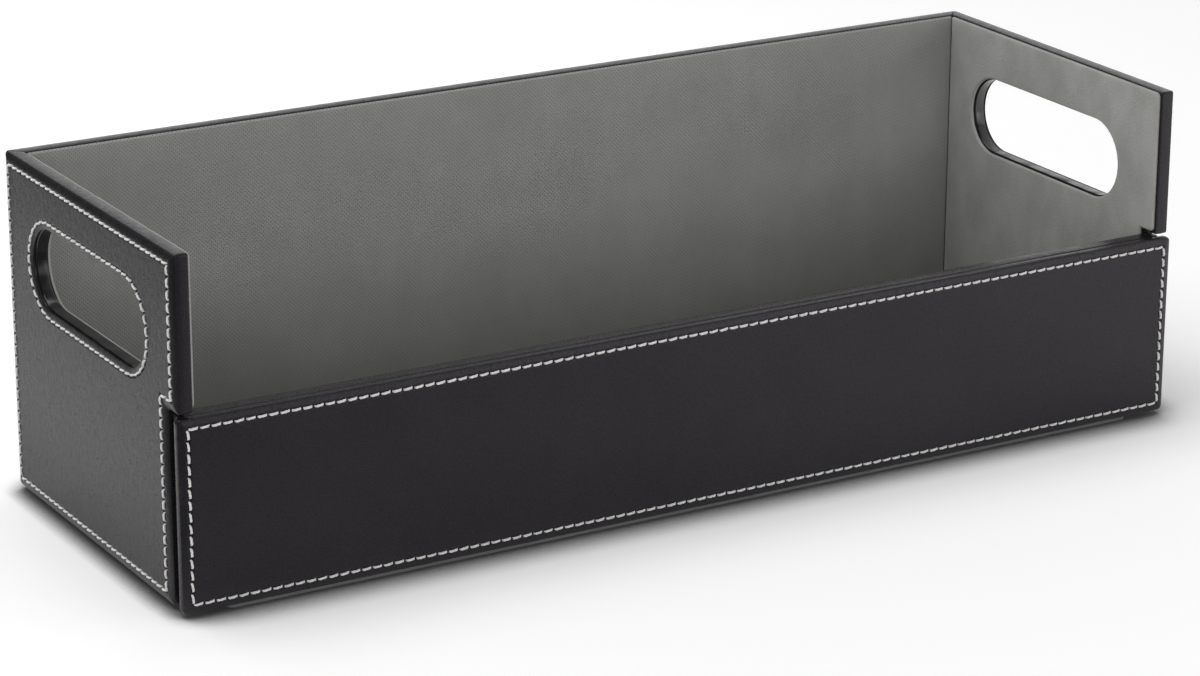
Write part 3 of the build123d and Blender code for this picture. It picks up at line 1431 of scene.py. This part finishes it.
WALL_WRAPPING = Wrapping()
FASCIA_WRAPPING = replace(
    WALL_WRAPPING,
    outer_fold=1.15 * MM,
    seam_inset=3.6 * MM,
    corner=1.7 * MM,
    crown=0.18 * MM,
    slope=0.18,
)
FRONT_WRAPPING = replace(WALL_WRAPPING, outer_fold=0.8 * MM, corner=1.0 * MM, crown=0.06 * MM)


@dataclass
class WrappedWall:
    """A board's leathercloth and stitching, with a hand-hole where it has one."""

    stem: str
    face: Face
    outline: Outline
    thickness: float
    seed: int
    wrapping: Wrapping = WALL_WRAPPING
    hand_hole: Outline | None = None
    hole_fold: float = 0.6 * MM
    hole_tuck: Pair = (0.35 * MM, 0.1 * MM)
    tuck_share: float = 0.7
    mitres: list[tuple[Vector, Vector]] = field(default_factory=list)

    def rim_stations(self) -> list[Station]:
        """Stations from the hidden side of the turn-in to the flat of the face.

        Returns:
            The stations in order.
        """
        wrapping = self.wrapping
        puffed = PuffedEdge(self.outline.seam_inset, wrapping.outer_fold, wrapping.slope)
        return wrapping.turned_in(self.thickness) + puffed.stations()

    def hole_stations(self) -> list[Station]:
        """Stations from the edging strip, round the hole's fold, to the flat of the face.

        Returns:
            The stations in order.
        """
        thick = self.wrapping.thick
        bead = self.hole_fold + self.tuck_share * (thick - self.hole_fold)
        tucked = [Station(inset, depth) for inset, depth in zip(self.hole_tuck, (thick, bead))]
        puffed = PuffedEdge(-self.hand_hole.seam_inset, self.hole_fold, self.wrapping.slope)
        return outward(tucked + puffed.stations())

    def cover(self, finish: Material) -> Piece:
        """Makes the leathercloth as one closed skin.

        Args:
            finish: the leathercloth's material.

        Returns:
            The piece.
        """
        skin = Skin(f"{self.stem}_leathercloth", self.face)
        edges = [skin.loft(self.outline, self.rim_stations(), Dents.of(self.outline))]
        if self.hand_hole is not None:
            hole = skin.loft(self.hand_hole, self.hole_stations(), Dents.of(self.hand_hole))
            edges.append(hole)
        skin.fill(*[rings[-1] for rings in edges])
        skin.fill(*[rings[0] for rings in edges])
        for place, away in self.mitres:
            skin.cut(place, away)
        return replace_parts(skin.finish(finish), f"{self.stem}_cover")

    def build(self, finishes: Finishes, *others: Stitching) -> list[Piece]:
        """Makes the leathercloth and the stitching on it.

        Args:
            finishes: the bin's materials.
            others: stitching besides the row round the rim.

        Returns:
            The leathercloth, then the stitching.
        """
        cover = self.cover(finishes.leathercloth)
        rows = self.outline.needle_holes()
        rim = Stitching(f"{self.stem}_stitching", self.face, rows, self.seed)
        stitches = [seam.build(finishes.thread) for seam in (rim, *others)]
        flat = self.outline.flat_cut(self.thickness + self.wrapping.turn_in)
        return [cover, *stitches]


@dataclass
class Side:
    """An end of the bin: leathercloth with a nose and a hand-hole, edging and stitching."""

    places: Places
    mirrored: bool
    wrapping: Wrapping = WALL_WRAPPING
    nose_corner: float = 1.0 * MM
    edging: float = 0.9 * MM
    hole_seam: float = 3.1 * MM
    hole_step: float = 0.25 * MM
    lips: Range = (1.6 * MM, 6.15 * MM)
    flange: Range = (0.95 * MM, 6.75 * MM)
    flange_share: float = 0.75
    lip_shoulder: float = 0.3
    lip_steps: int = 6
    rim_seed: int = 11
    hole_seed: int = 21

    @property
    def hand(self) -> str:
        """Left or right, as in the nodes' names."""
        return "right" if self.mirrored else "left"

    @property
    def sign(self) -> float:
        """-1 for the mirrored side."""
        return -1.0 if self.mirrored else 1.0

    @property
    def face(self) -> Face:
        """The side's outer face, along +Y and up +Z."""
        return Face(X * (self.places.side_low.x * self.sign), Y, Z, X * self.sign)

    def outline(self) -> Outline:
        """The side with its nose over the low front.

        Returns:
            The outline, from its lower front corner.
        """
        p = self.places
        corners = (
            (p.front_high.y, p.side_low.z),
            (p.side_high.y, p.side_low.z),
            (p.side_high.y, p.side_high.z),
            (p.side_low.y, p.side_high.z),
            (p.side_low.y, p.nose_underside),
            (p.front_high.y, p.nose_underside),
        )
        back, front = (self.wrapping.corner,), (self.nose_corner,)
        return Outline(corners, front + back * 2 + front * 3, seam_inset=self.wrapping.seam_inset)

    def hand_hole(self, spread: float = 0.0) -> Outline:
        """The hand-hole, its ends half round.

        Args:
            spread: how far the outline is grown.

        Returns:
            The outline.
        """
        p = self.places
        gap = self.edging - spread
        low = (p.strip_low.y + gap, p.strip_low.z + gap)
        high = (p.strip_high.y - gap, p.strip_high.z - gap)
        return rectangle(low, high, (high[1] - low[1]) / 2, seam_inset=-self.hole_seam)

    def build(self, finishes: Finishes) -> list[Piece]:
        """Makes the side's leathercloth, stitching and edging strip.

        Args:
            finishes: the bin's materials.

        Returns:
            The pieces.
        """
        p = self.places
        corner = Vector((p.side_low.x * self.sign, p.side_high.y, 0.0))
        wall = WrappedWall(
            f"{self.hand}_side",
            self.face,
            self.outline(),
            p.wall,
            self.rim_seed + self.mirrored,
            hand_hole=self.hand_hole(self.hole_step),
            mitres=[(corner, Vector((self.sign, 1.0, 0.0)))],
        )
        rows = self.hand_hole().needle_holes()
        seed = self.hole_seed + self.mirrored
        hole = Stitching(f"{self.hand}_hole_stitching", self.face, rows, seed)
        return [*wall.build(finishes, hole), self.strip(finishes.edging)]

    def strip(self, finish: Material) -> Piece:
        """The edging strip round the inside of the hand-hole, with rounded lips.

        Args:
            finish: the strip's material.

        Returns:
            The piece.
        """
        lip = self.edging / 2
        flange = -self.flange_share * self.edging
        (lips_start, lips_end), (flange_start, flange_end) = self.lips, self.flange
        stations = [
            Station(-self.edging, flange_end),
            Station(-self.edging, flange_start),
            Station(flange, flange_start),
            Station(flange, lips_start + self.lip_shoulder * lip),
        ]
        for middle, turned in ((lips_start + lip, (-90.0, 0.0)), (lips_end - lip, (0.0, 90.0))):
            rolled = arc_stations(-lip, middle, lip, turned, self.lip_steps)
            stations += [replace(station, fold=0.0) for station in rolled]
        stations.append(Station(flange, lips_end - self.lip_shoulder * lip))
        stations.append(Station(flange, flange_end))
        skin = Skin(f"{self.hand}_hole_edging", self.face)
        rings = skin.loft(self.hand_hole(), stations)
        skin.bridge(rings[-1], rings[0])
        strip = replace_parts(skin.finish(finish), f"{self.hand}_handle_edging")
        return strip


@dataclass
class Back:
    """The back wall's leathercloth, mitred to both sides, and its stitching."""

    places: Places
    wrapping: Wrapping = WALL_WRAPPING
    seed: int = 31

    def build(self, finishes: Finishes) -> list[Piece]:
        """Makes the leathercloth and its stitching.

        Args:
            finishes: the bin's materials.

        Returns:
            The pieces.
        """
        p, wrapping = self.places, self.wrapping
        low, high = p.back_low, p.back_high
        face = Face(Y * high.y, X, Z, -Y)
        outline = rectangle(low.xz, high.xz, wrapping.corner, seam_inset=wrapping.seam_inset)
        mitres = [
            (Vector((across, high.y, 0.0)), Vector((sign, -1.0, 0.0)))
            for across, sign in ((low.x, -1.0), (high.x, 1.0))
        ]
        wall = WrappedWall("back", face, outline, p.wall, self.seed, mitres=mitres)
        return wall.build(finishes)


@dataclass
class Front:
    """The low front: its own wrapped board and the fascia bonded to its face."""

    places: Places
    fascia_wrapping: Wrapping = FASCIA_WRAPPING
    wrapping: Wrapping = FRONT_WRAPPING
    seed: int = 41

    def build(self, finishes: Finishes) -> list[Piece]:
        """Makes the fascia's and the front wall's leathercloth and the stitching.

        Args:
            finishes: the bin's materials.

        Returns:
            The pieces.
        """
        return [*self.fascia(finishes), self.wall(finishes.leathercloth)]

    def fascia(self, finishes: Finishes) -> list[Piece]:
        """The fascia's leathercloth and the stitching round its face.

        Args:
            finishes: the bin's materials.

        Returns:
            The pieces.
        """
        low, high = self.places.fascia_low, self.places.fascia_high
        wrapping = self.fascia_wrapping
        face = Face(Y * low.y, X, Z, Y)
        outline = rectangle(low.xz, high.xz, wrapping.corner, seam_inset=wrapping.seam_inset)
        wall = WrappedWall("fascia", face, outline, high.y - low.y, self.seed, wrapping)
        return wall.build(finishes)

    def wall(self, finish: Material) -> Piece:
        """The front wall's leathercloth, a frame turned in on both faces.

        Args:
            finish: the leathercloth's material.

        Returns:
            The piece.
        """
        low, high = self.places.front_low, self.places.front_high
        wrapping, thickness = self.wrapping, high.y - low.y
        outline = rectangle(low.xz, high.xz, wrapping.corner, steps_per_stitch=2)
        margin, thick = wrapping.margin, wrapping.thick
        stations = [
            Station(margin, 0.0),
            Station(margin, thick),
            Station(thick, thick),
            Station(thick, thickness - thick),
            Station(margin, thickness - thick),
            Station(margin, thickness),
            *wrapping.inner_arc(thickness),
            Station(-wrapping.crown, thickness / 2, wrapping.crown_rub),
            *wrapping.outer_arc(),
        ]
        skin = Skin("front_leathercloth", Face(Y * low.y, X, Z, Y))
        rings = skin.loft(outline, stations)
        skin.bridge(rings[-1], rings[0])
        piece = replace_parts(skin.finish(finish), "front_cover")
        flat = outline.flat_cut(thickness + wrapping.turn_in)
        return piece


@dataclass
class LiningPanel:
    """Lining cloth wrapped round one card, with soft rolled edges."""

    node: str
    face: Face
    outline: Outline
    thickness: float
    hand_hole: Outline | None = None
    cloth: float = 0.4 * MM
    roll: float = 0.85 * MM
    roll_steps: int = 6
    settle: float = 1.5 * MM

    def stations(self) -> list[Station]:
        """Stations from the cloth's hidden side, round its edge, to its face.

        Returns:
            The stations in order.
        """
        roll, deep = self.roll, self.thickness
        return [
            Station(self.cloth, deep - self.cloth),
            Station(self.cloth, 0.0),
            Station(0.0, 0.0),
            *arc_stations(roll, deep - roll, roll, (180.0, 90.0), self.roll_steps),
            Station(roll + self.settle, deep),
        ]

    def build(self, finish: Material) -> Piece:
        """Args:
            finish: the cloth's material.

        Returns:
            The piece.
        """
        skin = Skin(f"{self.node}_panel", self.face)
        edges = [skin.loft(self.outline, self.stations())]
        if self.hand_hole is not None:
            edges.append(skin.loft(self.hand_hole, outward(self.stations())))
        for ring in (-1, 0):
            skin.fill(*[rings[ring] for rings in edges])
        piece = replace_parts(skin.finish(finish), self.node)
        flat = self.outline.flat_cut(self.thickness)
        return piece


@dataclass
class Lining:
    """The five lining panels."""

    places: Places
    corner: float = 2.0 * MM
    tight_corner: float = 0.6 * MM
    hole_gap: float = 0.6 * MM
    front_gap: float = 0.3 * MM
    top_margin: float = 0.5 * MM
    steps_per_stitch: int = 2

    def build(self, finishes: Finishes) -> list[Piece]:
        """Makes every panel.

        Args:
            finishes: the bin's materials.

        Returns:
            The pieces.
        """
        panels = (
            (self.end(False), Lie.END),
            (self.end(True), Lie.END),
            (self.back(), Lie.LONG),
            (self.front(), Lie.LONG),
            (self.floor(), Lie.FLOOR),
        )
        return [panel.build(finishes.lining[lie]) for panel, lie in panels]

    def end(self, mirrored: bool) -> LiningPanel:
        """A side's panel, which follows the nose and leaves the hand-hole open.

        Args:
            mirrored: True for the right side.

        Returns:
            The panel.
        """
        p, side = self.places, Side(self.places, mirrored)
        low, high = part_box("left_liner_cloth")
        step = p.nose_underside + p.side_high.z - high.z
        rim = p.side_high.z - self.top_margin
        front = p.front_high.y + self.front_gap
        corners = (
            (front, low.z),
            (high.y, low.z),
            (high.y, rim),
            (low.y, rim),
            (low.y, step),
            (front, step),
        )
        tight, soft = (self.tight_corner,), (self.corner,)
        radii = tight * 3 + soft * 2 + tight
        outline = Outline(corners, radii, steps_per_stitch=self.steps_per_stitch)
        face = Face(X * (low.x * side.sign), Y, Z, X * side.sign)
        hole = side.hand_hole(self.hole_gap)
        return LiningPanel(f"{side.hand}_liner_cloth", face, outline, high.x - low.x, hole)

    def panel(self, node: str, face: Face, low: Pair, high: Pair, deep: float) -> LiningPanel:
        """A plain rectangular panel.

        Args:
            node: the CAD cloth that it stands for.
            face: the plane that its card lies on.
            low: lowest corner on the face.
            high: highest corner on the face.
            deep: thickness of card and cloth together.

        Returns:
            The panel.
        """
        outline = rectangle(low, high, self.tight_corner, steps_per_stitch=self.steps_per_stitch)
        return LiningPanel(node, face, outline, deep)

    def back(self) -> LiningPanel:
        """The back wall's panel, which ends just below the rim.

        Returns:
            The panel.
        """
        low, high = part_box("back_liner_cloth")
        face = Face(Y * high.y, X, Z, -Y)
        top = (high.x, self.places.back_high.z - self.top_margin)
        return self.panel("back_liner_cloth", face, low.xz, top, high.y - low.y)

    def front(self) -> LiningPanel:
        """The low front's panel.

        Returns:
            The panel.
        """
        low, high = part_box("front_liner_cloth")
        face = Face(Y * low.y, X, Z, Y)
        return self.panel("front_liner_cloth", face, low.xz, high.xz, high.y - low.y)

    def floor(self) -> LiningPanel:
        """The floor's panel.

        Returns:
            The panel.
        """
        low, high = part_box("base_liner_cloth")
        face = Face(Z * low.z, X, Y, Z)
        return self.panel("base_liner_cloth", face, low.xy, high.xy, high.z - low.z)


@dataclass
class Underside:
    """The felt that the bin stands on."""

    edge: float = 0.3 * MM
    chamfer_share: float = 0.3
    top_share: float = 0.5
    corner: float = 2.4 * MM

    def build(self, finish: Material) -> Piece:
        """Makes the felt as one closed sheet with softened edges.

        Args:
            finish: the felt's material.

        Returns:
            The piece.
        """
        low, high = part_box("base_pad_felt")
        thick, edge, chamfer = high.z - low.z, self.edge, self.chamfer_share * self.edge
        outline = rectangle(low.xy, high.xy, self.corner, steps_per_stitch=2)
        stations = [
            Station(edge, 0.0),
            Station(chamfer, chamfer),
            Station(0.0, edge),
            Station(0.0, thick - edge),
            Station(self.top_share * edge, thick),
        ]
        skin = Skin("base_felt_sheet", Face(Z * low.z, X, Y, Z))
        rings = skin.loft(outline, stations)
        skin.fill(rings[0])
        skin.fill(rings[-1])
        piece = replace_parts(skin.finish(finish), "base_pad_felt")
        flat = outline.flat_cut(0.0)
        return piece


@dataclass
class Carcass:
    """The boards and cards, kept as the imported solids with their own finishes."""

    finishes: Finishes
    wrapped: tuple[str, ...] = ("left_side", "right_side", "back", "front", "fascia")
    lined: tuple[str, ...] = ("left", "right", "back", "front", "base")

    def dress(self) -> None:
        """Gives every board and card its material."""
        finishes = self.finishes
        dressed = {f"{wall}_board": finishes.board for wall in self.wrapped}
        dressed |= {f"{wall}_liner_card": finishes.card for wall in self.lined}
        dressed["fascia_bond"] = finishes.card
        dressed["base_board"] = finishes.stained_board
        dressed["base_pad_card"] = finishes.black_card
        for name, finish in dressed.items():
            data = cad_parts[name].data
            data.materials.clear()
            data.materials.append(finish)
            log.info("dressed %s", name)


# ---------------------------------------------------------------- studio


@dataclass
class StudioFloor:
    """A plain pale floor, see-through from below.

    A flag is a darker stretch of floor that only glossy rays see. Each has a range
    named edge or run, in metres, over which it fades. Contact is a painted contact
    shadow: the floor darkened close to the bin, which only the camera sees.
    """

    size: float = 9.0
    albedo: Colour = colour(0.93, 0.93, 0.93)
    roughness: float = 0.9
    shine: float = 0.1
    lift: float = 0.18
    front_flag: Range = (0.58, 0.05)
    front_edge: Range = (-0.105, -0.078)
    front_run: Range = (-0.1, 0.45)
    corner_flag: float = 0.85
    corner_slant: float = 1.7
    corner_edge: Range = (-0.55, -0.49)
    left_flag: float = 0.97
    left_edge: Range = (-0.56, -0.20)
    end_flag: float = 0.36
    end_edge: Range = (0.225, 0.3)
    contact_reach: Range = (6 * MM, 19 * MM)
    contact_run: Range = (-0.25, -0.2)
    contact_open: Range = (0.48, 1.0)
    contact_depth: float = 0.92
    contact_samples: int = 6

    def build(self) -> None:
        """Makes the floor."""
        mesh = bmesh.new()
        bmesh.ops.create_grid(mesh, x_segments=1, y_segments=1, size=self.size / 2)
        data = bpy.data.meshes.new("floor")
        mesh.to_mesh(data)
        mesh.free()
        data.materials.append(self.material())
        floor = bpy.data.objects.new("floor", data)
        bpy.context.scene.collection.objects.link(floor)

    def material(self) -> Material:
        """Makes the floor's finish, lifted a little where it is seen, dark where it is flagged.

        Returns:
            The material.
        """
        dress = Dress("pale_floor")
        n = dress.nodes
        tree = dress.material.node_tree
        rays = n.add("ShaderNodeLightPath").outputs
        seen = n.maths("MAXIMUM", rays["Is Camera Ray"], rays["Is Glossy Ray"])
        seen = n.maths("MAXIMUM", seen, rays["Is Transmission Ray"])
        x, y, _ = n.parts(dress.place)
        flagged = n.share(rays["Is Glossy Ray"], self.flags(n, x, y))
        # Painted contact shadow, seen only by the camera.
        painted_contact_shadow = n.share(rays["Is Camera Ray"], self.painted_contact_shadow(n, x))
        dark = n.maths("MAXIMUM", flagged, painted_contact_shadow)
        lift = n.share(seen, n.maths("SUBTRACT", 1.0, dark))
        dress.set(Roughness=self.roughness, Specular_IOR_Level=self.shine)
        dress.set(Base_Color=n.blend(dark, self.albedo, BLACK))
        dress.set(Emission_Color=WHITE, Emission_Strength=n.share(lift, self.lift))
        clear = n.add("ShaderNodeBsdfTransparent").outputs[0]
        below = n.add("ShaderNodeNewGeometry").outputs["Backfacing"]
        both = n.add("ShaderNodeMixShader")
        n.feed_all(both.inputs, (below, dress.shader.outputs[0], clear))
        n.feed(tree.nodes["Material Output"].inputs["Surface"], both.outputs[0])
        return dress.material

    def flags(self, n: Nodes, x: Socket, y: Socket) -> Socket:
        """How dark the flags are at a place.

        Args:
            n: the floor's nodes.
            x: the place along the bin.
            y: the place towards its back.

        Returns:
            0 where no flag is, 1 where the floor is black.
        """
        ahead = n.span(y, self.front_edge, 1.0, 0.0)
        ahead = n.share(ahead, n.span(x, self.front_run, *self.front_flag))
        beside = n.span(x, self.left_edge, self.left_flag, 0.0)
        # Painted shadow: the floor near both ends of the bin is darkened, seen only in
        # reflections.
        ends = n.span(n.maths("ABSOLUTE", x), self.end_edge, self.end_flag, 0.0)
        slanted = n.maths("MULTIPLY_ADD", x, self.corner_slant, y)
        corner = n.span(slanted, self.corner_edge, self.corner_flag, 0.0)
        flagged = n.maths("MAXIMUM", ahead, n.maths("MAXIMUM", beside, ends))
        return n.maths("MAXIMUM", flagged, corner)

    def painted_contact_shadow(self, n: Nodes, x: Socket) -> Socket:
        """Darkness of the painted contact shadow beside the bin, further out in front than at the
        left.

        Args:
            n: the floor's nodes.
            x: the place along the bin.

        Returns:
            The darkness, 0 to 1.
        """
        near_sky = n.add("ShaderNodeAmbientOcclusion", samples=self.contact_samples)
        n.feed(near_sky.inputs["Distance"], n.span(x, self.contact_run, *self.contact_reach))
        return n.span(near_sky.outputs["AO"], self.contact_open, self.contact_depth, 0.0)


@dataclass
class Room:
    """What surrounds the bin: white to the camera, a skirt and a window to gloss, and a softbox.

    Ranges are of a direction's x, y or height, from -1 to 1, but front_gain and window
    are how bright the gloss gets at the two ends of their runs.
    """

    skirt_edge: Range = (0.37, 0.43)
    skirt_fill: float = 1.8
    upper_fill: float = 0.3
    upper_gloss: float = 0.07
    left_edge: Range = (-0.35, 0.0)
    front_gain: Range = (-0.5, 1.6)
    front_run: Range = (0.4, 0.58)
    front_edge: Range = (-0.86, -0.76)
    window: Range = (0.6, 1.1)
    window_run: Range = (-0.3, 0.45)
    window_foot: Range = (0.42, 0.5)
    window_side: Range = (0.3, 0.6)
    window_back: Range = (0.7, 0.79)
    light_power: float = 14.0
    light_size: Pair = (1.5, 1.1)
    light_place: Vector = field(default_factory=lambda: Vector((-0.4, 0.35, 1.5)))

    def build(self) -> None:
        """Makes the world and the light."""
        world = bpy.data.worlds.new("soft_room")
        bpy.context.scene.world = world
        world.use_nodes = True
        n = Nodes(world.node_tree)
        rays = n.add("ShaderNodeLightPath").outputs
        x, y, height = n.parts(n.add("ShaderNodeTexCoord").outputs["Generated"])
        fill = n.span(height, self.skirt_edge, self.skirt_fill, self.upper_fill)
        level = n.choice(rays["Is Glossy Ray"], fill, self.reflected(n, x, y, height))
        seen = n.maths("MAXIMUM", rays["Is Camera Ray"], rays["Is Transmission Ray"])
        background = world.node_tree.nodes["Background"]
        n.feed(background.inputs["Color"], WHITE)
        n.feed(background.inputs["Strength"], n.choice(seen, level, 1.0))
        self.softbox()

    def reflected(self, n: Nodes, x: Socket, y: Socket, height: Socket) -> Socket:
        """What glossy rays see: the skirt, brighter towards the front right, and the window.

        Args:
            n: the world's nodes.
            x: the direction's share to the right.
            y: its share to the back.
            height: its share upward.

        Returns:
            The brightness.
        """
        skirt = n.span(height, self.skirt_edge, 1.0, self.upper_gloss)
        front = n.span(y, self.front_edge, 1.0, 0.0)
        gain = n.span(x, self.front_run, *self.front_gain)
        skirt = n.share(skirt, n.maths("MULTIPLY_ADD", front, gain, 1.0))
        skirt = n.share(skirt, n.span(x, self.left_edge, self.upper_gloss, 1.0))
        foot = n.span(height, self.window_foot, 0.0, 1.0)
        window = n.share(foot, n.span(x, self.window_side, 0.0, 1.0))
        window = n.share(window, n.span(y, self.window_back, 1.0, 0.0))
        window = n.share(window, n.span(y, self.window_run, *self.window))
        return n.maths("MAXIMUM", skirt, window)

    def softbox(self) -> None:
        """One large soft light overhead, a little behind the bin."""
        data = bpy.data.lights.new("overhead_softbox", "AREA")
        data.shape = "RECTANGLE"
        data.size, data.size_y = self.light_size
        data.energy = self.light_power
        softbox = bpy.data.objects.new("overhead_softbox", data)
        bpy.context.scene.collection.objects.link(softbox)
        softbox.location = self.light_place
        softbox.rotation_mode = "QUATERNION"
        softbox.rotation_quaternion = (-self.light_place).to_track_quat("-Z", "Y")


@dataclass
class Camera:
    """The camera: where it aims, from which side, and how far away. Angles are degrees."""

    lens: float = 120.64
    sensor: float = 36.0
    far: float = 50.0
    azimuth: float = -30.412
    elevation: float = 18.770
    roll: float = 0.194
    distance: float = 1.6294
    aim: Vector = field(default_factory=lambda: Vector((-0.0026, 0.0, 0.0488)))

    def build(self) -> None:
        """Makes the camera, turned by its small roll, with no shift and no depth of field."""
        data = bpy.data.cameras.new("camera")
        data.lens, data.sensor_width, data.clip_end = self.lens, self.sensor, self.far
        camera = bpy.data.objects.new("camera", data)
        bpy.context.scene.collection.objects.link(camera)
        bpy.context.scene.camera = camera
        turn, rise, roll = (math.radians(a) for a in (self.azimuth, self.elevation, self.roll))
        level = math.cos(rise)
        back = Vector((math.sin(turn) * level, -math.cos(turn) * level, math.sin(rise)))
        right = Vector((math.cos(turn), math.sin(turn), 0.0))
        up = back.cross(right)
        rolled_right = right * math.cos(roll) + up * math.sin(roll)
        axes = Matrix((rolled_right, back.cross(rolled_right), back)).transposed()
        place = self.aim + back * self.distance
        camera.matrix_world = Matrix.Translation(place) @ axes.to_4x4()


def main() -> None:
    """Builds the bin's classes in order."""
    logging.basicConfig(level=logging.INFO, format="%(name)s: %(message)s")
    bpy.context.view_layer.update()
    places = Places.read()
    finishes = Finishes.make()
    Carcass(finishes).dress()
    pieces = []
    for part in (Side(places, False), Side(places, True), Back(places), Front(places)):
        pieces += part.build(finishes)
    pieces += Lining(places).build(finishes)
    pieces.append(Underside().build(finishes.felt))
    for piece in pieces:
        log.info("built %s with %d faces", piece.name, len(piece.data.polygons))
    for fitting in (StudioFloor(), Room(), Camera()):
        fitting.build()
    bpy.context.scene.view_settings.view_transform = "Standard"


if __name__ == "__main__":
    main()
